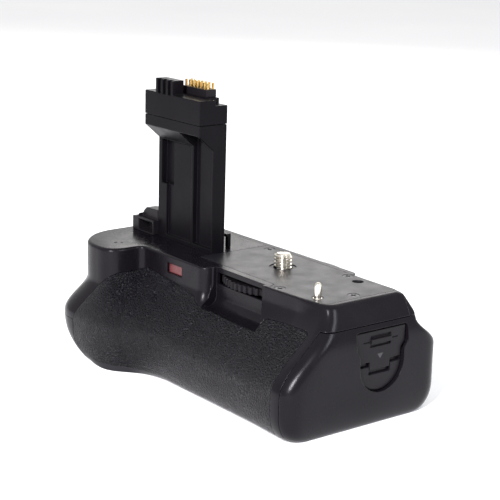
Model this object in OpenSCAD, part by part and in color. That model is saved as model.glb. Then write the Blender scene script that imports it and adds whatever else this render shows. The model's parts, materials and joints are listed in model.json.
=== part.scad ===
// Camera battery grip: a moulded body that screws under a camera, with a contact
// tower that fills the camera's battery well and a battery magazine that pulls out
// of the end. Origin: axis of the attachment screw, on the plane the camera sits on.
// +X points to the magazine's end cap, -Y to the front grip, +Z to the camera.

/* [Body] */
// Height from the base to the camera seat
body_h = 43; // [41:0.5:50]
// Screw axis to the end edge of the deck
deck_right = 46.6; // [45.6:0.1:50]
// Screw axis to the nose end of the deck
deck_left = 80; // [78:0.5:88]
// Screw axis to the back edge of the deck
deck_back = 16.7; // [16:0.1:19]
// Screw axis to the front wall beside the thumbwheel
deck_front = 21.4; // [21:0.1:23]
// Screw axis to the front wall that carries the window
window_front = 25.5; // [24.5:0.1:28]
// Screw axis to the front of the nose
nose_front = 40.4; // [38:0.1:44]
// Screw axis to the inner flank of the nose
nose_flank = 51; // [49:0.5:53]
// Swell of the front from the deck to the grip
front_swell = 18.3; // [16:0.1:21]
// Swell of the back from the deck to the rear bulge
back_swell = 11.2; // [9:0.1:14]
// Swell of the nose
nose_swell = 7.4; // [5:0.1:9]
// Swell of the magazine end
end_swell = 5.7; // [5:0.1:7]
// Depth of the widest level below the seat
wide_z = 28; // [26:0.5:29]
// Outer skin to inner face of the moulded shells
shell_t = 2.8; // [2.4:0.1:3.2]
// Thickness of the deck
deck_t = 2.2; // [1.8:0.1:2.4]
// Thickness of the bottom plate
bottom_t = 2.2; // [1.8:0.1:2.8]
// Thickness of the rubber skins
rubber_t = 1.2; // [0.8:0.1:1.4]

/* [Tower] */
// Width of the tower
tower_w = 34.5; // [32:0.5:36]
// Depth of the tower head
head_d = 12.2; // [11.5:0.1:13.5]
// Depth of the tower shaft
shaft_d = 5.8; // [5.2:0.1:6.4]
// Height of the head's top above the seat
tower_h = 56.3; // [53:0.1:60]
// Height of the head, above its sloped underside
head_h = 12.8; // [11.5:0.1:14]
// Height of the parting line of the head cap above the seat
head_seam = 47.4; // [46.5:0.1:49]
// Height of the ribbed guard above the head
guard_h = 5.2; // [4:0.1:6]
// Contacts in a row
contact_count = 7; // [4:1:8]

/* [Attachment screw] */
// Thread diameter of the camera screw
screw_d = 6.35; // [6.2:0.05:6.5]
// Reach of the screw above the seat
screw_reach = 5; // [4:0.1:5.5]
// Thread pitch
screw_pitch = 1.27; // [1.2:0.01:1.4]
// Outer diameter of the thumbwheel
wheel_d = 42.8; // [42:0.1:43.2]
// Thickness of the thumbwheel
wheel_t = 2.5; // [2.2:0.1:2.8]
// Teeth round the thumbwheel
wheel_teeth = 56; // [40:1:60]
// Depth of the thumbwheel below the seat
wheel_z = 3; // [2.8:0.1:3.4]
// Diameter of the locating pin
pin_d = 2.5; // [2:0.1:3]
// Reach of the locating pin above the seat
pin_reach = 5.2; // [4:0.1:6]

/* [Magazine] */
// Length of one battery pack
pack_l = 51.5; // [50:0.1:52]
// Width of one battery pack
pack_w = 36; // [34:0.1:36.4]
// Thickness of one battery pack
pack_t = 14.6; // [13.5:0.1:15]
// Clearance round a pack in the tray
pack_gap = 0.4; // [0.3:0.05:0.6]
// Wall of the tray
tray_wall = 1.5; // [1.2:0.1:1.8]
// Running clearance of the tray in the bay
bay_gap = 0.4; // [0.3:0.05:0.6]
// Wall of the bay liner
liner_t = 1.2; // [1:0.1:1.6]
// Screw axis to the parting plane of the end cap
cap_x = 47.5; // [46.5:0.1:48.5]
// Depth of the end cap's upper edge below the seat
cap_z = 7.5; // [7:0.1:9]

/* [Latch] */
// Width of the latch
latch_w = 23.2; // [22:0.1:24]
// Height of the latch
latch_h = 21.8; // [21:0.1:23]
// Depth of the latch's upper edge below the seat
latch_z = 9.3; // [9:0.1:10.5]
// Travel of the latch
latch_travel = 1.5; // [1:0.1:1.8]

/* [Controls] */
// Diameter of the shutter button
shutter_d = 8; // [7:0.1:8.4]
// Tilt of the shutter button below the horizontal
shutter_tilt = 24; // [18:1:26]
// Travel of the shutter button
shutter_travel = 1.2; // [0.8:0.1:1.4]
// Diameter of the control dial
dial_d = 18; // [16:0.5:18.5]
// Thickness of the control dial
dial_t = 5; // [4:0.1:5.5]
// Diameter of the round rear buttons
button_d = 7; // [5:0.1:7.5]
// Travel of the round rear buttons
button_travel = 0.8; // [0.5:0.1:1]
// Travel of the power switch
switch_travel = 4; // [3:0.1:5]

/* [Hidden] */
$fn = 48;
eps = 0.01;
far = 200;
seam = 0.15;
fit_gap = 0.3;

function unit(v) = v / norm(v);
function smooth(t) = let (u = min(1, max(0, t))) u * u * (3 - 2 * u);

// Outlines of the body at three levels, as matching corners: x, y and blend length
rim_end = 20;
rim_step = 2.5;
plate_back = deck_back - rim_step;
window_end = 13.3;
deck_bend = 22;
wide_front = deck_front + front_swell;
wide_back = deck_back + back_swell;
wide_nose = nose_front + nose_swell;

// Length of the magazine and of its bay, from the end cap to the nose
pocket_l = pack_l + 2 * pack_gap;
tray_l = 2 * pocket_l + 3 * tray_wall;
tray_end = cap_x + seam;
tray_x = tray_end - tray_l;
end_gap = 1.6;
liner_x = tray_x - end_gap - liner_t;

// Height of the nose controls over the floor, and the room that they need beyond the bay
floor_z = bottom_t - body_h;
control_h = 5.5;
control_z = floor_z + control_h;
nose_tuck = 9.5;
dial_proud = 1.2;
dial_gap = 0.4;
dial_room = 1;
function tuck_at(z, from = wide_z) =
    z > -from ? 0 : 1 - sqrt(max(0, 1 - pow((-from - z) / (body_h - from), 2)));
control_room = tuck_at(control_z) * nose_tuck + dial_d - dial_proud + dial_gap + dial_room;
nose_bulge = 4;
wide_left = max(deck_left + nose_bulge, control_room - liner_x);
nose_end = wide_left - nose_bulge;
base_front = wide_front - 7.6;
base_back = wide_back - 4;

deck_corners = [
    [deck_right, 2 - deck_front, 4],
    [deck_right, plate_back, 2],
    [rim_end + 1.5, plate_back, 0.8],
    [rim_end, deck_back, 0.8],
    [-nose_end, deck_back, 10],
    [1 - nose_end, 11.5 - nose_front, 7.2],
    [12 - nose_end, -nose_front, 7.2],
    [-nose_flank, -nose_front, 7.5],
    [-nose_flank, -window_front, 3.4],
    [-window_end, -window_front, 3],
    [1 - window_end, -deck_front, 0.9],
    [deck_bend, -deck_front, 10]
];
wide_corners = [
    [deck_right, -wide_front, 7],
    [deck_right, wide_back, 7],
    [rim_end + 10, wide_back, 2],
    [rim_end - 2, wide_back, 2],
    [-wide_left, wide_back, 18],
    [-wide_left, 14 - wide_nose, 8],
    [10.5 - wide_left, -wide_nose, 8],
    [1 - nose_flank, -wide_nose, 11],
    [21 - nose_flank, -wide_front, 10],
    [2 - window_end, -wide_front, 5],
    [2, -wide_front, 6],
    [deck_bend, -wide_front, 8]
];
base_corners = [
    [deck_right - 3, -base_front - 1, 6],
    [deck_right - 3, base_back - 2, 6],
    [rim_end + 10, base_back, 2],
    [rim_end - 2, base_back, 2],
    [9 - wide_left, base_back - 2, 16],
    [10 - wide_left, 23 - wide_nose, 9],
    [22 - wide_left, 7.5 - wide_nose, 9],
    [5 - nose_flank, -wide_nose, 8],
    [22 - nose_flank, -base_front, 9],
    [2 - window_end, -base_front, 5],
    [2, -base_front, 6],
    [deck_bend, -base_front, 8]
];
// Depth where each corner starts to swell, and where it is widest
flare = [
    [0, 27], [8.5, 19], [7, 20], [7, 20], [6, 24],
    [13, 27], [13, 27], [13, 27], [8, 27], [8, 27], [6, 27], [4, 27]
];
corner_count = len(deck_corners);
end_corners = 2;
end_run = 15;
end_tuck = body_h - 10;
// The deck's outline below the bevel of its rear edge
bevel_run = 6.5;
shelf_corners = [
    for (i = [0 : corner_count - 1])
        i == 1 ? [deck_right, deck_back + 0.5, 2] : i == 2 ? [rim_end + 1.5, deck_back, 0.8] : deck_corners[i]
];
arc_steps = 5;

function flat(p) = [p.x, p.y];
function left_of(d) = [-d.y, d.x];
function cyclic(list, i) = list[(i + len(list)) % len(list)];
// The same corners, moved inwards by t
function inset(cs, t) = [
    for (i = [0 : len(cs) - 1])
        let (c = cs[i], n1 = left_of(unit(flat(c) - flat(cyclic(cs, i - 1)))),
             n2 = left_of(unit(flat(cyclic(cs, i + 1)) - flat(c))))
        concat(flat(c) + t * (n1 + n2) / (1 + n1 * n2), [c.z])
];
// Share of their lengths that the blends of corner i and the next one can have on their edge
blend_fit = 0.98;
function edge_share(cs, i) =
    let (a = cyclic(cs, i), b = cyclic(cs, i + 1)) min(1, blend_fit * norm(flat(b) - flat(a)) / (a.z + b.z));
function corner_arc(cs, i) =
    let (c = flat(cs[i]), blend = cs[i].z * min(edge_share(cs, i - 1), edge_share(cs, i)),
         a = c + blend * unit(flat(cyclic(cs, i - 1)) - c),
         b = c + blend * unit(flat(cyclic(cs, i + 1)) - c))
    [for (k = [0 : arc_steps]) let (t = k / arc_steps) pow(1 - t, 2) * a + 2 * t * (1 - t) * c + t * t * b];
function outline(cs) = [for (i = [0 : len(cs) - 1]) corner_arc(cs, i)];
function swell_at(i, z) = smooth((-z - flare[i].x) / (flare[i].y - flare[i].x));
function end_at(i, z) = i < end_corners ? end_swell * sin(90 * min(1, -z / end_run)) : 0;
// Points of the body's skin at height z, moved inwards by t
function ring(z, deck, shelf, wide, base) = [
    for (i = [0 : corner_count - 1], k = [0 : arc_steps])
        let (top = deck[i][k] + min(1, -z / bevel_run) * (shelf[i][k] - deck[i][k]),
             p = top + swell_at(i, z) * (wide[i][k] - top)
                 + tuck_at(z, i < end_corners ? end_tuck : wide_z) * (base[i][k] - wide[i][k]))
        [p.x + end_at(i, z), p.y, z]
];
upper_steps = 12;
lower_steps = 6;
function levels(z_top, z_low) = concat(
    [for (k = [0 : upper_steps]) z_top + k / upper_steps * (-wide_z - z_top)],
    [for (k = [1 : lower_steps]) -wide_z + sin(90 * k / lower_steps) * (z_low + wide_z)]
);

// The body's skin moved inwards by t, between two heights
module skin(t = 0, z_top = 0, z_low = -body_h) {
    deck = outline(inset(deck_corners, t));
    shelf = outline(inset(shelf_corners, t));
    wide = outline(inset(wide_corners, t));
    base = outline(inset(base_corners, t));
    zs = levels(z_top, z_low);
    n = corner_count * (arc_steps + 1);
    points = [for (z = zs) each ring(z, deck, shelf, wide, base)];
    sides = [
        for (j = [0 : len(zs) - 2], i = [0 : n - 1])
            let (a = j * n + i, b = j * n + (i + 1) % n)
            each [[a, b, b + n], [a, b + n, a + n]]
    ];
    top = [for (i = [0 : n - 1]) n - 1 - i];
    low = [for (i = [0 : n - 1]) (len(zs) - 1) * n + i];
    polyhedron(points, concat([top], sides, [low]));
}

// A moulded piece: its free surfaces stay faceted
module moulding() { resize([0, 0, 0]) children(); }
module box(low, high) { translate(low) cube(high - low); }
// Extrudes a shape drawn in Y and Z along +X
module along_x(x, length) { translate([x, 0, 0]) rotate([90, 0, 90]) linear_extrude(length) children(); }
// Extrudes a shape drawn in X and Z along +Y
module along_y(y, length) {
    translate([0, y + length, 0]) rotate([90, 0, 0]) linear_extrude(length) children();
}
module rounded(cs) { polygon([for (a = outline(cs)) each a]); }

// Parting planes and levels
rear_split = plate_back - 0.4;
plate_t = 1.4;
plate_rim = 0.5;
plate_gap = 0.08;
plate_left = 26.5;
plate_end = 2.6;
plate_right = deck_right - plate_end;
nose_l = 16;
nose_split = nose_end - nose_l;
nose_h = 12.8;
nose_top = floor_z + nose_h;
end_wall = 2.2;
boss_wall = 1.3;
core_gap = 0.05;
guard_y = 16.9;
guard_end = 16.2;

plate_corners = [
    [plate_right, 2 - deck_front + plate_rim, 3.5],
    [plate_right, rear_split - plate_gap, 1.4],
    [-plate_left, rear_split - plate_gap, 0.4],
    [-plate_left, -guard_y, 0.4],
    [guard_end, -guard_y, 0.4],
    [guard_end + 2, plate_rim - deck_front, 1]
];
plate_screw_at = [
    [4.9 - plate_left, rear_split - 2.4], [guard_end + 5.7, rear_split - 2.4],
    [plate_right - 3.4, -3], [guard_end + 4.8, 2.9 - deck_front]
];
plate_screw_head_r = 1.9;
plate_screw_head_t = 0.9;
plate_screw_r = 1;
plate_screw_l = 5;
screw_sink = 0.1;
front_base_screws = [[plate_right - 7.5, 7 - base_front], [12 - nose_flank, 1 - base_front]];
rear_base_screws = [[plate_right - 7.5, base_back - 7], [28 - wide_left, base_back - 6.4]];
base_screw_head_r = 2.3;
base_screw_head_t = 0.8;
base_screw_sink = 0.2;
base_screw_r = 1.1;
base_screw_l = 6;
base_boss_h = 5;
pin_at = [plate_right - 7.5, 6.2 - deck_front];
pin_bush_r = 2.05;
spare_hole_at = [plate_right - 14.8, 9.3];

// Attachment screw, thumbwheel and their seat
screw_r = screw_d / 2;
thread_root = screw_r - 0.55;
shank_r = thread_root - 0.05;
collar_r = 4.8;
collar_gap = 0.3;
run_gap = 0.05;
wheel_r = wheel_d / 2;
wheel_gap = 0.5;
washer_t = 0.5;
boss_r = 6.5;
wheel_low = -wheel_z - wheel_t;
slot_left = 12.1;
slot_right = 15.1;
slot_lip = 0.1;
guard_front = 20.1;
guard_t = 1.85;
slot_low = wheel_low - 0.6;
scoop_z = -13.9;
scoop_r = 3.5;
scoop_wall = 1.25;
scoop_flare = 5.2;

// Battery bay and magazine
bay_y = -2;
tray_floor = 1.8;
tray_h = tray_floor + pack_t + pack_gap;
pocket_w = pack_w + 2 * pack_gap;
tray_w = pocket_w + 2 * tray_wall;
leg_h = 6.8;
liner_low = floor_z + leg_h;
bay_low = liner_low + liner_t;
tray_low = bay_low + bay_gap;
tray_top = tray_low + tray_h;
liner_top = tray_top + bay_gap + liner_t;
boss_h = wheel_low - washer_t - liner_top;
bay_half = tray_w / 2 + bay_gap;
liner_half = bay_half + liner_t;
liner_back = bay_y + liner_half;

// Tower
tower_right = 27.2;
tower_left = tower_right + tower_w;
tower_back = -5.6;
head_front = tower_back - head_d;
shaft_front = tower_back - shaft_d;
cover_t = 1.6;
tower_foot = 0.8;
cover_front = tower_back - cover_t;
head_low = tower_h - head_h;
slope_low = head_low - 0.85 * (head_d - shaft_d);
ribbon_w = 10;
ribbon_t = 0.4;
ribbon_x = -46.5;
channel_gap = 0.2;
channel_front = cover_front - 1.7;
contact_w = 14.6;
contact_x = ribbon_x - 2;
contact_h = 2.8;
contact_d = 4.4;
contact_pitch = (contact_w - 1.6) / (contact_count - 1);
pin_h = 2.4;
pin_size = [0.7, 0.6];

// The shells' wall, closed at the magazine end by a wall across the body
module skin_wall() {
    difference() {
        skin();
        intersection() {
            skin(shell_t, -deck_t, floor_z - 1);
            box([-far, -far, -far], [cap_x - end_wall, far, far]);
        }
    }
}
// A boss for a plate screw, hanging under the deck
module plate_boss(at) {
    translate([at.x, at.y, -plate_screw_l - 1])
        cylinder(r = boss_wall + plate_screw_r, h = plate_screw_l + 1 - plate_t - 0.2);
}
// A boss for a base screw, with a rib that ties it to the wall on one side
module base_boss(at, side) {
    rib = 14;
    intersection() {
        skin();
        translate([at.x, at.y, floor_z]) {
            cylinder(r = boss_wall + base_screw_r, h = base_boss_h);
            translate([-boss_wall / 2, side > 0 ? 0 : -rib, 0]) cube([boss_wall, rib, base_boss_h]);
        }
    }
}
module screw_cores() {
    for (p = plate_screw_at) translate([p.x, p.y, -plate_screw_l - 0.5])
        cylinder(r = plate_screw_r + core_gap, h = far);
    for (p = concat(front_base_screws, rear_base_screws)) translate([p.x, p.y, -far])
        cylinder(r = base_screw_r + core_gap, h = far + base_screw_l - body_h + 0.5);
}

// Spaces that the shells leave for other pieces
module cap_space(gap = 0) { box([cap_x + gap, -far, -far], [far, far, -cap_z - gap]); }
module nose_space(gap = 0) { box([-far, -far, -far], [-nose_split - gap, far, nose_top - gap]); }
module base_space() { box([-far, -far, -far], [far, far, floor_z]); }
module front_space() { box([-far, -far, -far], [far, rear_split, far]); }
module rear_space() { box([-far, rear_split, -far], [far, far, far]); }
module wheel_space() {
    translate([0, 0, slot_low]) cylinder(r = wheel_r + wheel_gap, h = -guard_t - slot_low);
}
module liner_space() {
    box([liner_x - seam, bay_y - liner_half - seam, liner_low - seam],
        [far, liner_back + seam, liner_top + seam]);
}
// The scoop in front of the slot, with a round foot and a flared end, made larger by a wall
module scoop(wall = 0) {
    foot = [-guard_front - scoop_r, scoop_z + scoop_r];
    intersection() {
        along_x(-far, 2 * far) polygon(concat(
            [[-far, scoop_z - wall], [-far, eps], [wall - guard_front, eps]],
            [for (a = [0 : 15 : 90]) foot + (scoop_r + wall) * [cos(a), -sin(a)]]
        ));
        along_y(-far, far) polygon([
            [-slot_left - wall, eps], [slot_right + wall, eps], [slot_right + wall, slot_low + 1],
            [slot_right + 0.3 * scoop_flare + wall, scoop_z + 5.9],
            [slot_right + scoop_flare + wall, scoop_z + 1.9],
            [slot_right + scoop_flare + wall, scoop_z - wall], [-slot_left - wall, scoop_z - wall]
        ]);
    }
}
module wheel_recess() {
    box([slot_lip - slot_left, -guard_front - 1, slot_low], [slot_right - slot_lip, 0, -guard_t]);
    scoop();
}

// Outline of the front grip rubber, seen from the front: x, z and blend length
rubber_right = cap_x - 4;
rubber_corners = [
    [rubber_right, floor_z - 1, 0.5],
    [rubber_right, -8.7, 2],
    [guard_end + 5, -9.7, 1],
    [guard_end + 3, -13.5, 1],
    [-window_end, -13.5, 2],
    [-window_end - 4, -10.5, 3],
    [1.5 - nose_flank, -7.5, 4],
    [-nose_flank - 8, -16, 3],
    [seam - nose_split, nose_top, 3],
    [seam - nose_split, floor_z - 1, 0.5]
];
rubber_back = -18.7;
module rubber_region(gap = 0) {
    difference() {
        along_y(-far, far + rubber_back) offset(delta = gap) rounded(rubber_corners);
        wheel_recess();
    }
}
pad_x = [-12, 36];
pad_lift = 3.8;
pad_rise = 11;
pad_z = [floor_z + pad_lift, pad_rise - wide_z];
pad_r = 4;
pad_corners = [
    [pad_x[1], pad_z[0], pad_r], [pad_x[1], pad_z[1], pad_r],
    [pad_x[0], pad_z[1], pad_r], [pad_x[0], pad_z[0], pad_r]
];
module pad_region(gap = 0) { along_y(rear_split + 5, far) offset(delta = gap) rounded(pad_corners); }

// Infrared window in the front wall: low x and z, width and height
window_at = [-35, -6.4];
window_size = [9, 3.6];
window_recess = 1;
window_gap = 0.1;

body_colour = "#2c2b30";

module front_shell() {
    color(body_colour) moulding() difference() {
        union() {
            skin_wall();
            intersection() {
                scoop(scoop_wall);
                skin();
            }
            for (p = plate_screw_at) plate_boss(p);
            for (p = front_base_screws) base_boss(p, -1);
        }
        difference() {
            rubber_region(seam);
            skin(rubber_t);
        }
        wheel_recess();
        wheel_space();
        liner_space();
        rear_space();
        cap_space();
        nose_space();
        base_space();
        translate([0, 0, -plate_t]) linear_extrude(far) offset(delta = seam) rounded(plate_corners);
        translate([0, 0, -far]) cylinder(r = collar_r - 1, h = far);
        screw_cores();
        box([window_at.x - window_gap, -window_front - 1, window_at.y - window_gap],
            [window_at.x + window_size.x + window_gap, -window_front + shell_t + 1,
             window_at.y + window_size.y + window_gap]);
        box([ribbon_x - channel_gap, channel_front, -far],
            [ribbon_x + ribbon_w + channel_gap, cover_front, far]);
        box([-tower_left, shaft_front, -tower_foot], [-tower_right, tower_back, far]);
    }
}

housing_wall = 1.3;
housing_r = wheel_r + wheel_gap + housing_wall;
housing_drop = 5;
housing_run = 4;
module rear_shell() {
    wheel_edge = housing_r - housing_wall;
    color(body_colour) moulding() difference() {
        union() {
            skin_wall();
            rotate_extrude() polygon([
                [deck_back - 4, -plate_rim], [deck_back - 1, -plate_rim], [housing_r, 0.45 - wheel_z],
                [housing_r, slot_low - 1], [housing_r - housing_run, slot_low - housing_drop],
                [deck_back - 4, slot_low - housing_drop]
            ]);
            for (p = rear_base_screws) base_boss(p, 1);
        }
        rotate_extrude() polygon([
            [0, -guard_t], [deck_back - 1, -guard_t], [wheel_edge, 0.25 - wheel_z], [wheel_edge, slot_low],
            [wheel_edge - housing_run, slot_low - housing_drop - eps], [0, slot_low - housing_drop - eps]
        ]);
        front_space();
        liner_space();
        cap_space();
        nose_space();
        base_space();
        screw_cores();
        difference() {
            pad_region(seam);
            skin(rubber_t);
        }
        for (x = button_at) button_hole(x);
        translate([switch_x, inner_back - 1, button_z])
            box([-switch_size.x / 2 - fit_gap, 0, -switch_size.y / 2 - fit_gap],
                [switch_size.x / 2 + switch_travel + fit_gap, far, switch_size.y / 2 + fit_gap]);
    }
}

// Round buttons and the power switch on the back
button_inset = 20.6;
button_pitch = 11;
button_at = [for (i = [0 : 2]) button_inset - nose_end + i * button_pitch];
button_z = 0.5 - wide_z;
button_face = wide_back;
button_proud = 0.6;
button_lip = 0.9;
button_lip_t = 0.9;
button_gap = 0.5;
inner_back = wide_back - shell_t;
board_t = 1.4;
board_back = liner_back + board_t;
board_half = 5;
board_edge = 6;
board_top = button_z + board_half;
board_low = button_z - board_half;
switch_x = -24;
switch_size = [5.5, 3.4];
switch_proud = 1.2;
switch_base_t = 1;

module button_hole(x) {
    translate([x, 0, button_z]) rotate([-90, 0, 0]) cylinder(r = button_d / 2 + fit_gap, h = far);
}
module rear_button(x) {
    lip_y = inner_back - button_gap - button_lip_t;
    crown = 0.5;
    color("#202024") translate([x, lip_y, button_z]) rotate([-90, 0, 0]) rotate_extrude() polygon([
        [0, 0], [button_d / 2 + button_lip, 0], [button_d / 2 + button_lip, button_lip_t],
        [button_d / 2, button_lip_t], [button_d / 2, button_face - lip_y],
        [button_d / 2 - crown, button_face - lip_y + button_proud], [0, button_face - lip_y + button_proud]
    ]);
}
module af_point_button() { rear_button(button_at[0]); }
module ae_lock_button() { rear_button(button_at[1]); }
module exposure_button() { rear_button(button_at[2]); }

// Dome switches under the rear buttons
module rear_button_switches() {
    top = inner_back - button_gap - button_lip_t - button_travel - fit_gap;
    side = 5;
    case_t = 1;
    color("#b9b9bd") for (x = button_at) {
        difference() {
            box([x - side / 2, board_back, button_z - side / 2], [x + side / 2, top, button_z + side / 2]);
            translate([x, board_back + case_t, button_z]) rotate([-90, 0, 0]) difference() {
                cylinder(r = side, h = far);
                cylinder(r = side / 4, h = far);
            }
        }
    }
}
module button_board() {
    color("#1f5a34") box([button_at[0] - board_edge / 3, liner_back, board_low],
        [button_at[2] + board_edge, board_back, board_top]);
}
module main_board() {
    gap = 2;
    chip = [12, 9, 1.2];
    color("#1f5a34") box([button_at[2] + board_edge + gap, liner_back, board_low - gap],
        [deck_right - board_edge - gap, board_back, board_top]);
    color("#151517") translate([0, board_back, button_z]) rotate([-90, 0, 0])
        linear_extrude(chip.z) square([chip.x, chip.y], center = true);
}
module power_switch() {
    base = [switch_size.x + switch_travel, switch_size.y + 3];
    base_y = inner_back - fit_gap - switch_base_t;
    top = button_face + switch_proud;
    ridge = 0.5;
    color("#202024") difference() {
        union() {
            box([switch_x - base.x / 2, base_y, button_z - base.y / 2],
                [switch_x + base.x / 2, base_y + switch_base_t, button_z + base.y / 2]);
            box([switch_x - switch_size.x / 2, base_y, button_z - switch_size.y / 2],
                [switch_x + switch_size.x / 2, top, button_z + switch_size.y / 2]);
        }
        for (i = [-1 : 1])
            box([switch_x + i * 3 * ridge - ridge / 2, top - ridge, button_z - switch_size.y],
                [switch_x + i * 3 * ridge + ridge / 2, top + 1, button_z + switch_size.y]);
    }
}

// Shutter button and control dial on the nose cover
shutter_y = -18;
nose_x = -wide_left + tuck_at(control_z) * nose_tuck;
shutter_r = shutter_d / 2;
ring_wall = 1.05;
ring_gap = 0.25;
ring_proud = 0.4;
ring_r = shutter_r + ring_gap + ring_wall;
cage_r = ring_r + 0.7;
cage_shoulder = -2.2;
cage_top = cage_shoulder - 1;
lip_r = cage_r - 1;
lip_t = 0.9;
cage_low = cage_top - fit_gap - lip_t - shutter_travel - 0.8;
switch_plate_t = 1.4;
dial_y = 6;
dial_r = dial_d / 2;
dial_x = nose_x + dial_r - dial_proud;
axle_r = 1.2;
dial_teeth = 30;

module at_shutter() {
    translate([nose_x, shutter_y, control_z]) rotate([0, -90 - shutter_tilt, 0]) children();
}
module nose_cover() {
    color(body_colour) moulding() difference() {
        intersection() {
            skin_wall();
            nose_space(seam);
        }
        base_space();
        at_shutter() translate([0, 0, cage_shoulder - 1]) cylinder(r = ring_r + core_gap, h = far);
        at_shutter() translate([0, 0, cage_shoulder - far]) cylinder(r = cage_r + core_gap, h = far);
        translate([dial_x, dial_y, control_z - dial_t / 2 - dial_gap])
            cylinder(r = dial_r + dial_gap, h = dial_t + 2 * dial_gap);
    }
}
module shutter_ring() {
    color("#1b1b1e") at_shutter() rotate_extrude() polygon([
        [shutter_r + ring_gap, cage_top], [lip_r + ring_gap, cage_top], [lip_r + ring_gap, cage_low],
        [cage_r, cage_low], [cage_r, cage_shoulder], [ring_r, cage_shoulder],
        [ring_r, ring_proud - 0.4], [ring_r - 0.4, ring_proud], [shutter_r + ring_gap, ring_proud]
    ]);
}
module shutter_button() {
    low = cage_top - fit_gap - lip_t;
    top = ring_proud + 1;
    edge = 0.6;
    dish = 30;
    color("#222226") at_shutter() difference() {
        rotate_extrude() polygon([
            [0, low], [lip_r, low], [lip_r, low + lip_t], [shutter_r, low + lip_t],
            [shutter_r, top - edge], [shutter_r - edge, top], [0, top]
        ]);
        translate([0, 0, top + dish - 0.2]) sphere(dish, $fn = 96);
    }
}
module shutter_switch() {
    plunger_r = 1.5;
    color("#b9b9bd") at_shutter() {
        translate([0, 0, cage_low - switch_plate_t]) cylinder(r = cage_r, h = switch_plate_t);
        translate([0, 0, cage_low - eps]) cylinder(r = plunger_r, h = 0.5);
    }
}
// Points of a toothed rim: crests a share of the pitch wide, with sloped flanks
function toothed(n, r, depth, crest) = [
    for (i = [0 : n - 1], e = [[-1, 0], [-crest, 1], [crest, 1], [1, 0]])
        let (a = 360 / n * (i + e.x * 0.42), q = r - depth * (1 - e.y)) q * [cos(a), sin(a)]
];
module control_dial() {
    color("#1b1b1e") translate([dial_x, dial_y, control_z - dial_t / 2]) difference() {
        linear_extrude(dial_t) polygon(toothed(dial_teeth, dial_r, 0.6, 0.45));
        translate([0, 0, -1]) cylinder(r = axle_r + run_gap, h = dial_t + 2);
    }
}
module dial_axle() {
    shoulder = 0.3;
    top = control_z + dial_t / 2 + 1;
    color("#c8c8cc") translate([dial_x, dial_y, 0]) rotate_extrude() polygon([
        [0, floor_z], [axle_r + shoulder, floor_z], [axle_r + shoulder, control_z - dial_t / 2 - fit_gap],
        [axle_r, control_z - dial_t / 2 - fit_gap], [axle_r, top - 0.3], [axle_r - 0.3, top], [0, top]
    ]);
}

// Base
socket_r = 6;
socket_flange_r = 8;
socket_flange_t = 1.5;
socket_hole_r = 2.6;
socket_depth = 6;
socket_h = 7.6;
module bottom_plate() {
    color("#242327") moulding() difference() {
        intersection() {
            skin();
            base_space();
        }
        cap_space();
        translate([0, 0, -far]) cylinder(r = socket_r + core_gap, h = far);
        for (p = concat(front_base_screws, rear_base_screws)) translate([p.x, p.y, -body_h]) {
            translate([0, 0, -1])
                cylinder(r = base_screw_head_r + seam, h = 1 + base_screw_sink + base_screw_head_t);
            cylinder(r = base_screw_r + core_gap, h = bottom_t + 1);
        }
    }
}
module tripod_socket() {
    color("#b8b4a8") difference() {
        union() {
            translate([0, 0, -body_h]) cylinder(r = socket_r, h = socket_h);
            translate([0, 0, floor_z]) cylinder(r = socket_flange_r, h = socket_flange_t);
        }
        translate([0, 0, -body_h - 1]) cylinder(r = socket_hole_r, h = socket_depth + 1);
    }
}
// A cross-head screw with its head's face at z 0
module cross_screw(head_r, head_t, r, length) {
    slot = [head_r * 1.1, head_r * 0.28];
    difference() {
        union() {
            translate([0, 0, -head_t]) cylinder(r = head_r, h = head_t);
            translate([0, 0, -length]) cylinder(r = r, h = length);
        }
        for (a = [0, 90]) rotate(a) translate([0, 0, -head_t * 0.6])
            linear_extrude(head_t) square(slot, center = true);
    }
}
module bottom_plate_screws() {
    color("#5c5c60") for (p = concat(front_base_screws, rear_base_screws))
        translate([p.x, p.y, base_screw_sink - body_h]) rotate([180, 0, 0])
            cross_screw(base_screw_head_r, base_screw_head_t, base_screw_r, base_screw_l);
}

// Top plate and what stands on it
module top_plate() {
    color("#37363b") difference() {
        translate([0, 0, -plate_t]) linear_extrude(plate_t) rounded(plate_corners);
        translate([0, 0, -far]) cylinder(r = collar_r, h = 2 * far);
        translate([pin_at.x, pin_at.y, -far]) cylinder(r = pin_bush_r, h = 2 * far);
        translate([spare_hole_at.x, spare_hole_at.y, -far]) cylinder(r = pin_bush_r, h = 2 * far);
        for (p = plate_screw_at) translate([p.x, p.y, 0]) {
            translate([0, 0, -plate_screw_head_t - screw_sink])
                cylinder(r = plate_screw_head_r + seam, h = far);
            translate([0, 0, -far]) cylinder(r = plate_screw_r + core_gap, h = far);
        }
    }
}
module top_plate_screws() {
    color("#3f3f44") for (p = plate_screw_at) translate([p.x, p.y, -screw_sink])
        cross_screw(plate_screw_head_r, plate_screw_head_t, plate_screw_r, plate_screw_l);
}
pin_root_r = pin_d / 2 + 0.3;
bush_sink = 0.1;
module locating_pin() {
    dome = pin_d / 2;
    color("#d6d2c6") translate([pin_at.x, pin_at.y, 0]) {
        translate([0, 0, -plate_t]) cylinder(r = pin_root_r, h = plate_t - bush_sink);
        translate([0, 0, -plate_t]) cylinder(r = pin_d / 2, h = plate_t + pin_reach - dome);
        translate([0, 0, pin_reach - dome]) intersection() {
            sphere(dome);
            translate([0, 0, dome]) cube(2 * dome, center = true);
        }
    }
}
module locating_pin_bush() {
    color("#101012") translate([pin_at.x, pin_at.y, -plate_t]) difference() {
        cylinder(r = pin_bush_r, h = plate_t - bush_sink);
        translate([0, 0, -1]) cylinder(r = pin_root_r, h = far);
    }
}
thread_start = -0.1;
crest_w = 0.45;
flank = 0.38;
lead_in = 0.4;
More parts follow.
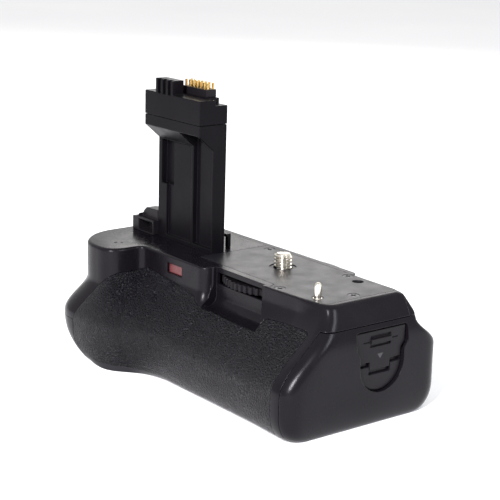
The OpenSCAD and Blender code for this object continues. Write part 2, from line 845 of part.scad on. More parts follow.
thread_count = 1 + floor((screw_reach - lead_in - thread_start - crest_w - flank) / screw_pitch);
screw_low = liner_top + 1.2;
module attachment_screw() {
    crests = [
        for (k = [0 : thread_count - 1]) let (z = thread_start + k * screw_pitch)
            each [[thread_root, z - flank], [screw_r, z], [screw_r, z + crest_w],
                  [thread_root, z + crest_w + flank]]
    ];
    color("#d9d3bf") rotate_extrude() polygon(concat(
        [[0, screw_low], [shank_r, screw_low], [shank_r, thread_start - 0.5]],
        crests,
        [[thread_root, screw_reach - lead_in], [thread_root - lead_in, screw_reach], [0, screw_reach]]
    ));
}
module thumbwheel() {
    dish = 0.5;
    color("#1e1e21") translate([0, 0, wheel_low]) difference() {
        linear_extrude(wheel_t) polygon(toothed(wheel_teeth, wheel_r, 0.8, 0.5));
        translate([0, 0, -1]) cylinder(r = shank_r, h = wheel_t + 2);
        translate([0, 0, wheel_t - dish]) difference() {
            cylinder(r = wheel_r - 3, h = 1);
            translate([0, 0, -1]) cylinder(r = boss_r, h = 3);
        }
    }
}
module wheel_washer() {
    color("#c9c6bc") translate([0, 0, wheel_low - washer_t]) difference() {
        cylinder(r = boss_r, h = washer_t);
        translate([0, 0, -1]) cylinder(r = shank_r + 0.2, h = washer_t + 2);
    }
}
module screw_collar() {
    sink = 0.3;
    color("#0e0e10") translate([0, 0, -plate_t]) difference() {
        cylinder(r = collar_r, h = plate_t - sink);
        translate([0, 0, -1]) cylinder(r = screw_r + collar_gap, h = far);
    }
}

// Rubber skins and window
module front_grip_rubber() {
    color("#1a1a1d") moulding() difference() {
        intersection() {
            difference() {
                skin();
                skin(rubber_t);
            }
            rubber_region();
        }
        base_space();
        liner_space();
    }
}
module rear_thumb_rubber() {
    color("#1a1a1d") moulding() intersection() {
        difference() {
            skin();
            skin(rubber_t);
        }
        pad_region();
    }
}
window_y = -window_front + window_recess;
window_t = shell_t - window_recess;
module infrared_window() {
    color("#7c2a2c") box([window_at.x, window_y, window_at.y],
        [window_at.x + window_size.x, window_y + window_t, window_at.y + window_size.y]);
}
module infrared_receiver() {
    depth = 3;
    wing = 2;
    color("#26262b") box([window_at.x + wing, window_y + window_t, window_at.y],
        [window_at.x + window_size.x - wing, window_y + window_t + depth, window_at.y + window_size.y]);
}

// Holder and catch for the camera's own battery door
holder_right = -tower_left;
holder_l = 14.3;
holder_left = holder_right - holder_l;
holder_front = shaft_front - 2.1;
holder_back = tower_back - 0.9;
holder_low_h = 5.2;
holder_h = 9.7;
holder_wall = 0.5;
horn_w = 8;
horn_round = 0.4;
module door_holder() {
    rim = 4.3;
    color("#1f1f23") difference() {
        along_y(holder_front, holder_back - holder_front) polygon([
            [holder_left, 0], [holder_right, 0], [holder_right, holder_h],
            [holder_right - horn_w, holder_h - horn_round],
            [holder_right - horn_w - 3 * horn_round, holder_h - 3.5 * horn_round],
            [holder_right - horn_w - 6.5 * horn_round, holder_low_h + 2.25 * horn_round],
            [holder_right - horn_w - 11.5 * horn_round, holder_low_h], [holder_left, holder_low_h]
        ]);
        box([holder_left + rim, holder_front - 1, holder_wall],
            [holder_right - 1.2, holder_back - 1.6, holder_low_h - holder_wall]);
        box([holder_left + rim, holder_front - 1, holder_low_h + holder_wall], [far, holder_front + 2, far]);
    }
}
catch_at = [-33.4, -0.5];
catch_size = [1.6, 1.4, 5.2];
module door_catch() {
    hook = 0.6;
    color("#141416") {
        box([catch_at.x, catch_at.y, 0],
            [catch_at.x + catch_size.x, catch_at.y + catch_size.y, catch_size.z]);
        box([catch_at.x, catch_at.y - hook, catch_size.z - 1.2],
            [catch_at.x + catch_size.x, catch_at.y + hook, catch_size.z]);
    }
}

// Tower
module tower_front() {
    foot_z = 1.5;
    side_wall = 0.8;
    color("#29282c") difference() {
        along_x(-tower_left, tower_w) polygon([
            [cover_front, -tower_foot], [shaft_front, -tower_foot], [shaft_front, slope_low],
            [head_front, head_low], [head_front, head_seam], [cover_front, head_seam]
        ]);
        box([5.6 - tower_left, -far, foot_z], [21 - tower_left, shaft_front + 1.1, slope_low - 0.4]);
        box([2.2 - tower_left, -far, slope_low - 17], [8.5 - tower_left, shaft_front + 2.4, slope_low - 0.4]);
        box([22.3 - tower_left, -far, foot_z], [24.9 - tower_left, shaft_front + 2, head_low]);
        box([24.5 - tower_left, -far, foot_z], [-tower_right - side_wall, shaft_front + 1.4, head_low]);
        box([ribbon_x - channel_gap, channel_front, -far], [ribbon_x + ribbon_w + channel_gap, far, far]);
    }
}
module tower_back_cover() {
    rib = 0.8;
    color("#29282c") difference() {
        box([-tower_left, cover_front, -tower_foot], [-tower_right, tower_back, head_seam]);
        for (i = [1 : 3])
            box([-tower_left + i * tower_w / 4 - rib, tower_back - 0.5, 6],
                [-tower_left + i * tower_w / 4 + rib, far, head_low]);
    }
}
guard_x = [-54.9, -44];
guard_d = 4.9;
ledge_drop = 2;
module tower_head() {
    ribs = 4;
    groove = 1.3;
    pitch = (guard_x[1] - guard_x[0] - groove) / (ribs - 1);
    wall = 1.6;
    color("#29282c") difference() {
        union() {
            box([-tower_left, head_front, head_seam + seam], [-tower_right, tower_back, tower_h]);
            box([guard_x[0], head_front, tower_h - 1], [guard_x[1], head_front + guard_d, tower_h + guard_h]);
        }
        for (i = [0 : ribs - 2])
            box([guard_x[0] + i * pitch + groove, head_front - 1, tower_h - 0.2],
                [guard_x[0] + (i + 1) * pitch, head_front + 1.6, far]);
        box([-tower_right - 5, tower_back - 5.2, tower_h - ledge_drop], [far, far, far]);
        box([-tower_left + wall, head_front + wall, -far],
            [-tower_right - wall, tower_back - wall, tower_h - 2 * wall]);
        box([ribbon_x, cover_front - 1.4, -far], [ribbon_x + ribbon_w, cover_front - 0.2, far]);
    }
}
contact_back = tower_back - 0.1;
contact_rows = [contact_back - contact_d + 1, contact_back - 1];
function contact_at(i) = contact_x + contact_w / 2 + (i - (contact_count - 1) / 2) * contact_pitch;
module contact_pin_shape(x, y) {
    root = 2;
    box([x - pin_size.x / 2, y - pin_size.y / 2, tower_h + contact_h - root],
        [x + pin_size.x / 2, y + pin_size.y / 2, tower_h + contact_h + pin_h]);
}
module contact_block() {
    color("#0f0f11") difference() {
        box([contact_x, contact_back - contact_d, tower_h],
            [contact_x + contact_w, contact_back, tower_h + contact_h]);
        for (i = [0 : contact_count - 1], y = contact_rows) contact_pin_shape(contact_at(i), y);
    }
}
module contact_pins() {
    color("#c9a24a") for (i = [0 : contact_count - 1], y = contact_rows) contact_pin_shape(contact_at(i), y);
}
module tower_ribbon_cable() {
    color("#8a5a2b") box([ribbon_x, cover_front - 1 - ribbon_t, liner_top],
        [ribbon_x + ribbon_w, cover_front - 1, tower_h]);
}

// Battery bay, magazine and latch
module bay_liner() {
    leg = 2;
    leg_inset = [15, 12];
    color("#3a393e") difference() {
        union() {
            box([liner_x, bay_y - liner_half, liner_low], [cap_x, liner_back, liner_top]);
            translate([0, 0, liner_top - eps]) cylinder(r = boss_r, h = boss_h + eps);
            for (x = [liner_x + leg_inset[0], cap_x - leg_inset[1]])
                box([x, bay_y - liner_half + 6, floor_z], [x + leg, liner_back - 6, liner_low + eps]);
        }
        box([liner_x + liner_t, bay_y - bay_half, bay_low], [far, bay_y + bay_half, liner_top - liner_t]);
        translate([0, 0, screw_low - fit_gap]) cylinder(r = shank_r + run_gap, h = far);
    }
}
terminal_y = [-9, 0, 9];
terminal_w = 3;
terminal_h = 6;
terminal_z = tray_low + tray_h / 2;
pad_t = 0.3;
module terminals(x, length) {
    for (y = terminal_y)
        box([x, bay_y + y - terminal_w / 2, terminal_z - terminal_h / 2],
            [x + length, bay_y + y + terminal_w / 2, terminal_z + terminal_h / 2]);
}
module bay_contacts() { color("#c9a24a") terminals(liner_x + liner_t, end_gap - pad_t - 0.2); }
module pack_contacts() {
    color("#c9a24a") {
        terminals(tray_x - pad_t, pad_t);
        for (i = [0, 1]) terminals(tray_x + tray_wall + i * (pocket_l + tray_wall), pack_gap - 0.1);
    }
}
module magazine_tray() {
    finger = 9;
    color("#333237") difference() {
        box([tray_x, bay_y - tray_w / 2, tray_low], [tray_end, bay_y + tray_w / 2, tray_top]);
        for (i = [0, 1]) {
            x = tray_x + tray_wall + i * (pocket_l + tray_wall);
            box([x, bay_y - pocket_w / 2, tray_low + tray_floor], [x + pocket_l, bay_y + pocket_w / 2, far]);
            translate([x + pocket_l / 2, bay_y, tray_low - 1]) cylinder(r = finger, h = tray_h);
        }
        for (y = cap_screw_y) translate([tray_end - tray_wall, bay_y + y, cap_screw_z]) rotate([0, 90, 0]) {
            translate([0, 0, -1]) cylinder(r = cap_screw_head_r + seam, h = 1 + cap_screw_head_t);
            cylinder(r = cap_screw_r + core_gap, h = far);
        }
    }
}
cap_screw_y = [-15, 15];
cap_screw_z = tray_low + 5;
cap_screw_r = 0.9;
cap_screw_l = 3.8;
cap_screw_head_r = 1.8;
cap_screw_head_t = 0.8;
module end_cap_screws() {
    color("#8d8d92") for (y = cap_screw_y) translate([tray_end - tray_wall, bay_y + y, cap_screw_z])
        rotate([0, -90, 0]) cross_screw(cap_screw_head_r, cap_screw_head_t, cap_screw_r, cap_screw_l);
}

latch_y = 0.6;
latch_floor = cap_x + 2.4;
latch_gap = 0.6;
tab_gap = 0.35;
latch_step = 1.7;
latch_shelf = 6.1;
latch_slant = 2.1;
latch_round = latch_w / 2 - latch_step;
latch_centre = -latch_z - latch_h + latch_round;
shoulder_z = -latch_z - 11.1;
stem_w = 9;
stem_l = 2.9;
slider_t = 1;
slider_x = latch_floor + 0.1;
bar_w = 9.2;
bar_h = 1.6;
bar_drop = 4.1;
bar_z = -latch_z - bar_drop;
bar_groove = 1.2;
bar_proud = 0.6;
tick = [3, 0.35];
tongue_w = 5;
tongue_drop = 5.9;
tongue_low = -latch_z - tongue_drop;
bolt_x = cap_x + fit_gap;
bolt_t = 1.2;
spring_r = 0.85;
spring_h = 5.8;
// Shield outline of the latch recess, moved inwards by g
module shield(g) {
    shelf_z = -latch_z - latch_shelf;
    wide = latch_w / 2 - g;
    slim = latch_round - g;
    translate([latch_y, 0]) {
        polygon([
            [-wide, shelf_z], [-slim, shelf_z - latch_slant], [-slim, latch_centre], [slim, latch_centre],
            [slim, shelf_z - latch_slant], [wide, shelf_z], [wide, -latch_z - g], [-wide, -latch_z - g]
        ]);
        translate([0, latch_centre]) circle(slim, $fn = 64);
    }
}
// Room under the recess's edge for the slider's shoulders to go down
module slider_room() {
    low = -latch_z - latch_shelf - latch_slant - latch_travel - fit_gap;
    intersection() {
        translate([0, -latch_travel - fit_gap]) shield(latch_gap - fit_gap);
        translate([latch_y - latch_w, low]) square([2 * latch_w, latch_h]);
    }
}
module end_cap() {
    color(body_colour) moulding() difference() {
        intersection() {
            skin();
            cap_space(seam);
        }
        box([-far, -far, -far], [far, far, 0.3 - body_h]);
        along_x(latch_floor, far) shield(0);
        along_x(latch_floor, slider_x - latch_floor + slider_t + fit_gap) slider_room();
        box([0, latch_y - tongue_w / 2 - fit_gap, tongue_low - latch_travel - fit_gap],
            [far, latch_y + tongue_w / 2 + fit_gap, -latch_z - 2]);
        box([0, latch_y - tongue_w / 2 - fit_gap, -latch_z - 3],
            [latch_floor - seam, latch_y + tongue_w / 2 + fit_gap, 0]);
        translate([bolt_x + spring_r, latch_y, tongue_low - spring_h])
            cylinder(r = spring_r + fit_gap, h = spring_h);
        for (y = cap_screw_y) translate([0, bay_y + y, cap_screw_z]) rotate([0, 90, 0])
            cylinder(r = cap_screw_r + core_gap, h = tray_end - tray_wall + cap_screw_l + 0.2);
    }
}
module latch_slider() {
    face = slider_x + slider_t;
    slot_z = (bar_h + bar_groove) / 2;
    color("#2c2b30") difference() {
        union() {
            along_x(slider_x, slider_t) union() {
                intersection() {
                    shield(latch_gap);
                    translate([latch_y - latch_w, shoulder_z]) square([2 * latch_w, latch_h]);
                }
                translate([latch_y - stem_w / 2, shoulder_z - stem_l]) square([stem_w, stem_l + eps]);
            }
            box([face - eps, latch_y - bar_w / 2, bar_z - bar_h / 2],
                [face + bar_proud, latch_y + bar_w / 2, bar_z + bar_h / 2]);
            box([bolt_x, latch_y - tongue_w / 2, tongue_low],
                [slider_x + eps, latch_y + tongue_w / 2, -latch_z - 2.3]);
            box([bolt_x, latch_y - tongue_w / 2, -latch_z - 3],
                [bolt_x + bolt_t, latch_y + tongue_w / 2, -cap_z - 2 * seam]);
        }
        for (side = [-1, 1]) {
            translate([face, latch_y, bar_z + side * slot_z])
                box([0.2 - slider_t, -bar_w / 2, -bar_groove / 2], [far, bar_w / 2, bar_groove / 2]);
            translate([face, latch_y + side * (bar_w + tick[0] + tick[1]) / 2, bar_z])
                box([-tick[1], -tick[0] / 2, -tick[1] / 2], [far, tick[0] / 2, tick[1] / 2]);
        }
    }
}
module latch_tab() {
    drop = latch_travel + fit_gap / 2;
    color("#2c2b30") along_x(latch_floor, slider_x - latch_floor + slider_t) difference() {
        intersection() {
            shield(tab_gap);
            translate([latch_y - latch_w, shoulder_z - drop - latch_h]) square([2 * latch_w, latch_h]);
        }
        translate([latch_y - stem_w / 2 - fit_gap, shoulder_z - stem_l - drop])
            square([stem_w + 2 * fit_gap, latch_h]);
    }
}
module latch_spring() {
    color("#bfbfc4") translate([bolt_x + spring_r, latch_y, tongue_low - spring_h]) difference() {
        cylinder(r = spring_r, h = spring_h);
        translate([0, 0, -1]) cylinder(r = spring_r - 0.3, h = spring_h + 2);
    }
}

front_shell();
rear_shell();
nose_cover();
bottom_plate();
top_plate();
front_grip_rubber();
rear_thumb_rubber();
infrared_window();
infrared_receiver();
door_holder();
door_catch();
tower_front();
tower_back_cover();
tower_head();
contact_block();
contact_pins();
tower_ribbon_cable();
attachment_screw();
thumbwheel();
wheel_washer();
screw_collar();
locating_pin();
locating_pin_bush();
top_plate_screws();
bottom_plate_screws();
tripod_socket();
bay_liner();
bay_contacts();
main_board();
button_board();
magazine_tray();
end_cap();
end_cap_screws();
pack_contacts();
latch_slider();
latch_tab();
latch_spring();
shutter_button();
shutter_ring();
shutter_switch();
control_dial();
dial_axle();
af_point_button();
ae_lock_button();
exposure_button();
rear_button_switches();
power_switch();
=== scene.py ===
import json
import math

import bmesh
import bpy
import numpy as np
from mathutils import Matrix, Vector


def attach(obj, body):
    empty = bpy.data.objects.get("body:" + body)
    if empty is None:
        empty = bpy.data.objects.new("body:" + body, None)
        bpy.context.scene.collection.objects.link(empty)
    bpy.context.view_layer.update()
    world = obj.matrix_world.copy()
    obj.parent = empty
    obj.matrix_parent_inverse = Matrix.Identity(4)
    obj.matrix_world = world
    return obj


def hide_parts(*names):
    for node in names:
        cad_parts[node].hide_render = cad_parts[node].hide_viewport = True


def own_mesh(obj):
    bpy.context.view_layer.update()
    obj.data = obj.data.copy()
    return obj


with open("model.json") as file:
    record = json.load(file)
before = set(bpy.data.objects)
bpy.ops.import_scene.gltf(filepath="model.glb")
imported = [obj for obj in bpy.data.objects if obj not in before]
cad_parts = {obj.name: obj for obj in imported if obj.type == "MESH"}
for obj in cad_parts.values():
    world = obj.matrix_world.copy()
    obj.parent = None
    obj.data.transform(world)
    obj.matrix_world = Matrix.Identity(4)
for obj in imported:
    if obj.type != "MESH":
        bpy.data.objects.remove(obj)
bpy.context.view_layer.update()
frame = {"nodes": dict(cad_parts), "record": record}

NODES = frame["nodes"]
MM = 0.001

# Sizes in millimetres, the same as the part's source
BODY_H = 43.0
DECK_RIGHT, DECK_LEFT, DECK_BACK = 46.6, 80.0, 16.7
DECK_FRONT, WINDOW_FRONT = 21.4, 25.5
NOSE_FRONT, NOSE_FLANK = 40.4, 51.0
FRONT_SWELL, BACK_SWELL, NOSE_SWELL, END_SWELL = 18.3, 11.2, 7.4, 5.7
WIDE_Z = 28.0
SHELL_T, DECK_T, BOTTOM_T, RUBBER_T = 2.8, 2.2, 2.2, 1.2
SEAM, SEAM_WIDER, FIT_GAP = 0.15, 0.08, 0.3
RIM_END, RIM_STEP = 20.0, 2.5
PLATE_BACK = DECK_BACK - RIM_STEP
WINDOW_END, DECK_BEND = 13.3, 22.0
WIDE_FRONT = DECK_FRONT + FRONT_SWELL
WIDE_BACK = DECK_BACK + BACK_SWELL
WIDE_NOSE = NOSE_FRONT + NOSE_SWELL
WIDE_LEFT = DECK_LEFT + 4
BASE_FRONT = WIDE_FRONT - 7.6
BASE_BACK = WIDE_BACK - 4
FLOOR_Z = BOTTOM_T - BODY_H
REAR_SPLIT = PLATE_BACK - 0.4
NOSE_SPLIT = 64.0
CAP_X, CAP_Z = 47.5, 7.5
END_WALL = 2.2
FAR = 200.0

# Matching corners of the body's outline at three levels: x, y and blend length
DECK = np.array([
    [DECK_RIGHT, 2 - DECK_FRONT, 4],
    [DECK_RIGHT, PLATE_BACK, 2],
    [RIM_END + 1.5, PLATE_BACK, 0.8],
    [RIM_END, DECK_BACK, 0.8],
    [-DECK_LEFT, DECK_BACK, 10],
    [1 - DECK_LEFT, 11.5 - NOSE_FRONT, 7.2],
    [12 - DECK_LEFT, -NOSE_FRONT, 7.2],
    [-NOSE_FLANK, -NOSE_FRONT, 7.5],
    [-NOSE_FLANK, -WINDOW_FRONT, 3.4],
    [-WINDOW_END, -WINDOW_FRONT, 3],
    [1 - WINDOW_END, -DECK_FRONT, 0.9],
    [DECK_BEND, -DECK_FRONT, 10],
])
# The deck's outline below the bevel of its rear edge
SHELF = DECK.copy()
SHELF[1, 1], SHELF[2, 1] = DECK_BACK + 0.5, DECK_BACK
BEVEL_RUN = 6.5
WIDE = np.array([
    [DECK_RIGHT, -WIDE_FRONT, 7],
    [DECK_RIGHT, WIDE_BACK, 7],
    [RIM_END + 10, WIDE_BACK, 2],
    [RIM_END - 2, WIDE_BACK, 2],
    [-WIDE_LEFT, WIDE_BACK, 18],
    [-WIDE_LEFT, 14 - WIDE_NOSE, 8],
    [10.5 - WIDE_LEFT, -WIDE_NOSE, 8],
    [1 - NOSE_FLANK, -WIDE_NOSE, 11],
    [21 - NOSE_FLANK, -WIDE_FRONT, 10],
    [2 - WINDOW_END, -WIDE_FRONT, 5],
    [2, -WIDE_FRONT, 6],
    [DECK_BEND, -WIDE_FRONT, 8],
])
BASE = np.array([
    [DECK_RIGHT - 3, -BASE_FRONT - 1, 6],
    [DECK_RIGHT - 3, BASE_BACK - 2, 6],
    [RIM_END + 10, BASE_BACK, 2],
    [RIM_END - 2, BASE_BACK, 2],
    [9 - WIDE_LEFT, BASE_BACK - 2, 16],
    [10 - WIDE_LEFT, 23 - WIDE_NOSE, 9],
    [22 - WIDE_LEFT, 7.5 - WIDE_NOSE, 9],
    [5 - NOSE_FLANK, -WIDE_NOSE, 8],
    [22 - NOSE_FLANK, -BASE_FRONT, 9],
    [2 - WINDOW_END, -BASE_FRONT, 5],
    [2, -BASE_FRONT, 6],
    [DECK_BEND, -BASE_FRONT, 8],
])
# Depths where each corner starts to swell and is widest
FLARE = np.array([
    [0, 27], [8.5, 19], [7, 20], [7, 20], [6, 24], [13, 27],
    [13, 27], [13, 27], [8, 27], [8, 27], [6, 27], [4, 27],
], float)
CORNERS = len(DECK)
# The first corners belong to the end with the magazine, which swells and tucks by itself
END_CORNERS, END_RUN, END_TUCK = 2, 15.0, 10.0
TUCK_FROM = np.array([BODY_H - END_TUCK] * END_CORNERS + [WIDE_Z] * (CORNERS - END_CORNERS))
# Rounding of the deck's rim at each corner
RIM_R = np.array([1.3, 1.3, 0.5, 0.5, 0.9, 1.1, 1.1, 1.1, 0.8, 0.6, 0.4, 0.5])
# Steps along each corner's blend, and points along the straight run after it
ARC = 9
RUNS = [14, 6, 2, 30, 10, 4, 6, 8, 18, 4, 10, 12]


def smooth(t):
    t = np.clip(t, 0, 1)
    return t * t * (3 - 2 * t)


def inset(cs, t):
    """The corners moved inwards by t, which may differ from corner to corner."""
    p = cs[:, :2]
    d1 = p - np.roll(p, 1, 0)
    d2 = np.roll(p, -1, 0) - p
    d1 /= np.linalg.norm(d1, axis=1)[:, None]
    d2 /= np.linalg.norm(d2, axis=1)[:, None]
    n1 = np.stack([-d1[:, 1], d1[:, 0]], 1)
    n2 = np.stack([-d2[:, 1], d2[:, 0]], 1)
    q = p + np.asarray(t)[:, None] * (n1 + n2) / (1 + (n1 * n2).sum(1))[:, None]
    return np.concatenate([q, cs[:, 2:]], 1)


def arcs(cs, steps=ARC):
    """Points of every blended corner: corner, step, x and y."""
    p = cs[:, :2]
    back = np.roll(p, 1, 0) - p
    on = np.roll(p, -1, 0) - p
    a = p + cs[:, 2:] * back / np.linalg.norm(back, axis=1)[:, None]
    b = p + cs[:, 2:] * on / np.linalg.norm(on, axis=1)[:, None]
    t = np.linspace(0, 1, steps + 1)[None, :, None]
    return (1 - t) ** 2 * a[:, None] + 2 * t * (1 - t) * p[:, None] + t * t * b[:, None]


def ring(z, t):
    """One level of the body's skin: z and inset per corner, as points all the way round."""
    z = np.broadcast_to(np.asarray(z, float), (CORNERS,))
    t = np.broadcast_to(np.asarray(t, float), (CORNERS,))
    swell = smooth((-z - FLARE[:, 0]) / (FLARE[:, 1] - FLARE[:, 0]))[:, None, None]
    below = np.clip((-TUCK_FROM - z) / (BODY_H - TUCK_FROM), 0, 1)
    tuck = (1 - np.sqrt(1 - below ** 2))[:, None, None]
    d, s, w, b = (arcs(inset(c, t)) for c in (DECK, SHELF, WIDE, BASE))
    d = d + np.clip(-z / BEVEL_RUN, 0, 1)[:, None, None] * (s - d)
    p = d + swell * (w - d) + tuck * (b - w)
    bulge = END_SWELL * np.sin(math.pi / 2 * np.clip(-z / END_RUN, 0, 1))
    p[:END_CORNERS, :, 0] += bulge[:END_CORNERS, None]
    out = []
    for i in range(CORNERS):
        j = (i + 1) % CORNERS
        out += [(x, y, z[i]) for x, y in p[i]]
        for k in range(1, RUNS[i] + 1):
            s = k / (RUNS[i] + 1)
            x, y = p[i, -1] + s * (p[j, 0] - p[i, -1])
            out.append((x, y, z[i] + s * (z[j] - z[i])))
    return np.array(out)


def new_object(name, bm):
    mesh = bpy.data.meshes.new(name)
    bm.to_mesh(mesh)
    bm.free()
    obj = bpy.data.objects.new(name, mesh)
    bpy.context.scene.collection.objects.link(obj)
    return obj


def skin(name, t=0.0, z_top=0.0, z_low=-BODY_H, rim=False, steps=(34, 18)):
    """The body's skin moved inwards by t, as a closed mesh."""
    rings = []
    from_z = np.full(CORNERS, z_top)
    if rim:
        for a in np.radians(np.linspace(90, 15, 6)):
            rings.append(ring(-RIM_R * (1 - math.sin(a)), RIM_R * (1 - math.cos(a))))
        from_z = -RIM_R
    for k in range(steps[0] + 1):
        rings.append(ring(from_z + (-WIDE_Z - from_z) * k / steps[0], t))
    for k in range(1, steps[1] + 1):
        z = -WIDE_Z + math.sin(math.pi / 2 * k / steps[1]) * (z_low + WIDE_Z)
        rings.append(ring(z, t))
    return stack(name, [r * MM for r in rings])


def stack(name, rings):
    """A closed mesh from rings of points in metres that lie one after another."""
    bm = bmesh.new()
    rows = [[bm.verts.new(p) for p in r] for r in rings]
    n = len(rows[0])
    for a, b in zip(rows, rows[1:]):
        for i in range(n):
            j = (i + 1) % n
            bm.faces.new((a[i], b[i], b[j], a[j]))
    bm.faces.new(rows[0])
    bm.faces.new(rows[-1][::-1])
    bmesh.ops.recalc_face_normals(bm, faces=bm.faces)
    return new_object(name, bm)


def box(lo, hi):
    bm = bmesh.new()
    bmesh.ops.create_cube(bm, size=1)
    lo, hi = Vector(lo) * MM, Vector(hi) * MM
    for v in bm.verts:
        v.co = Vector(lo[i] + (v.co[i] + 0.5) * (hi[i] - lo[i]) for i in range(3))
    return new_object("cutter", bm)


def cylinder(at, r, h, axis=(0, 0, 1), sides=64):
    bm = bmesh.new()
    bmesh.ops.create_cone(bm, cap_ends=True, segments=sides, radius1=r * MM, radius2=r * MM, depth=h * MM)
    turn = Vector((0, 0, 1)).rotation_difference(Vector(axis)).to_matrix().to_4x4()
    lift = Matrix.Translation(Vector((0, 0, h * MM / 2)))
    bm.transform(Matrix.Translation(Vector(at) * MM) @ turn @ lift)
    return new_object("cutter", bm)


def prism(points, lo, hi, axis):
    """A closed outline extruded along X, Y or Z: its points fill the other two in order."""
    def place(p, h):
        q = list(p)
        q.insert("xyz".index(axis), h)
        return Vector(q) * MM
    bm = bmesh.new()
    a = [bm.verts.new(place(p, lo)) for p in points]
    b = [bm.verts.new(place(p, hi)) for p in points]
    n = len(points)
    for i in range(n):
        bm.faces.new((a[i], a[(i + 1) % n], b[(i + 1) % n], b[i]))
    bm.faces.new(a)
    bm.faces.new(b)
    bmesh.ops.recalc_face_normals(bm, faces=bm.faces)
    return new_object("cutter", bm)


def circle(r, z, sides):
    """Points in metres of a level circle about Z. Its radius may differ from point to point."""
    a = 2 * math.pi * np.arange(sides) / sides
    r = np.asarray(r) * MM
    return np.stack([r * np.cos(a), r * np.sin(a), np.full(sides, z * MM)], 1)


def lathe(profile, sides=96, closed=False):
    """A solid turned about Z from points r, z that start and end on the axis, or close on themselves."""
    bm = bmesh.new()
    rows = []
    for r, z in profile:
        points = circle(r, z, sides) if r > 0 else [(0, 0, z * MM)]
        rows.append([bm.verts.new(p) for p in points])
    for a, b in zip(rows, rows[1:] + (rows[:1] if closed else [])):
        for k in range(sides):
            m = (k + 1) % sides
            quad = [a[k % len(a)], a[m % len(a)], b[m % len(b)], b[k % len(b)]]
            face = list(dict.fromkeys(quad))
            if len(face) > 2:
                bm.faces.new(face)
    bmesh.ops.recalc_face_normals(bm, faces=bm.faces)
    return new_object("cutter", bm)


def combine(obj, *others, how="DIFFERENCE"):
    """Booleans of closed meshes, applied one after another. The other meshes are used up."""
    for other in others:
        mod = obj.modifiers.new("combine", "BOOLEAN")
        mod.operation = how
        mod.object = other
        mod.solver = "MANIFOLD"
        bpy.context.view_layer.update()
        graph = bpy.context.evaluated_depsgraph_get()
        mesh = bpy.data.meshes.new_from_object(obj.evaluated_get(graph))
        obj.modifiers.clear()
        old = obj.data
        obj.data = mesh
        bpy.data.meshes.remove(old)
        bpy.data.objects.remove(other)
    return obj


def copy(obj, name="cutter"):
    new = bpy.data.objects.new(name, obj.data.copy())
    bpy.context.scene.collection.objects.link(new)
    return new


def shade(obj, angle=34):
    """Smooth shading with sharp edges where faces meet at more than the angle."""
    bm = bmesh.new()
    bm.from_mesh(obj.data)
    bmesh.ops.remove_doubles(bm, verts=bm.verts, dist=2e-6)
    bmesh.ops.dissolve_degenerate(bm, edges=bm.edges, dist=2e-6)
    limit = math.radians(angle)
    for f in bm.faces:
        f.smooth = True
    for e in bm.edges:
        e.smooth = len(e.link_faces) == 2 and e.calc_face_angle(math.pi) < limit
    bm.to_mesh(obj.data)
    bm.free()
    return obj


def blended(corners, steps=8):
    """A closed outline with blended corners: a, b and blend length each."""
    return arcs(np.array(corners, float), steps).reshape(-1, 2)


def grown(points, d):
    """A closed outline moved outwards by d."""
    p = np.asarray(points)
    area = (p[:, 0] * np.roll(p[:, 1], -1) - np.roll(p[:, 0], -1) * p[:, 1]).sum()
    on = np.roll(p, -1, 0) - np.roll(p, 1, 0)
    n = np.stack([on[:, 1], -on[:, 0]], 1) * math.copysign(1, area)
    return p + d * n / np.maximum(np.linalg.norm(n, axis=1), 1e-9)[:, None]


# Clearance round turned pieces, half the reach of a through hole and a hair's overlap
CORE_GAP, THROUGH, HAIR = 0.05, 30.0, 0.01
# Wheel slot with its scoop, and the housing behind the wheel
GUARD_FRONT, GUARD_T, SLOT_LOW = 20.1, 1.85, -6.1
SLOT_LEFT, SLOT_RIGHT, SLOT_LIP = 12.1, 15.1, 0.1
SCOOP_Z, SCOOP_R, SCOOP_FLARE, SCOOP_WALL = -13.9, 3.5, 5.2, 1.25
WHEEL_SPACE_R, WHEEL_TOP, COLLAR_R = 21.9, -3.0, 4.8
HOUSING_R, HOUSING_RUN, HOUSING_DROP, HOUSING_ROOT = 23.2, 4.0, 5.0, DECK_BACK - 4
# Battery bay
LINER_X, LINER_TOP, LINER_LOW = -64.25, -14.0, -34.0
LINER_FRONT, LINER_BACK = -23.5, 19.5
# Top plate
PLATE_T, PLATE_RIM, PLATE_GAP = 1.4, 0.5, 0.08
PLATE_LEFT, PLATE_RIGHT = 26.5, DECK_RIGHT - 2.6
GUARD_Y, GUARD_END = 16.9, 16.2
# Red window: its left lower corner and its size
WINDOW_AT, WINDOW_SIZE, WINDOW_GAP = (-35.0, -6.4), (9.0, 3.6), 0.1
# The tower's seat, its cable slot and its contacts
TOWER_LEFT, TOWER_RIGHT, TOWER_FOOT = 61.7, 27.2, 0.8
SHAFT_FRONT, TOWER_BACK = -11.4, -5.6
RIBBON_X, RIBBON_W, CHANNEL_GAP = -46.5, 10.0, 0.2
CHANNEL_FRONT, COVER_FRONT = -8.9, -7.2
CONTACT_COUNT, CONTACT_W, CONTACT_EDGE = 7, 14.6, 0.8
CONTACT_X = RIBBON_X - 2 + CONTACT_W / 2
CONTACT_PITCH = (CONTACT_W - 2 * CONTACT_EDGE) / (CONTACT_COUNT - 1)
CONTACT_ROWS, CONTACT_TOP = (-9.1, -6.7), 59.1
PIN_H, PIN_ROOT, PIN_HALF_W, PIN_HALF_D = 2.4, 2.0, 0.35, 0.3
# Dimples in the deck of the nose: x, y, radius and sides
DIMPLES = [(-60.2, -31.5, 0.55, 24), (-59.0, -29.5, 0.4, 24), (-51.7, -21.2, 0.8, 32)]
DIMPLE_DEPTH, DIMPLE_CUT = 1.5, 5.0
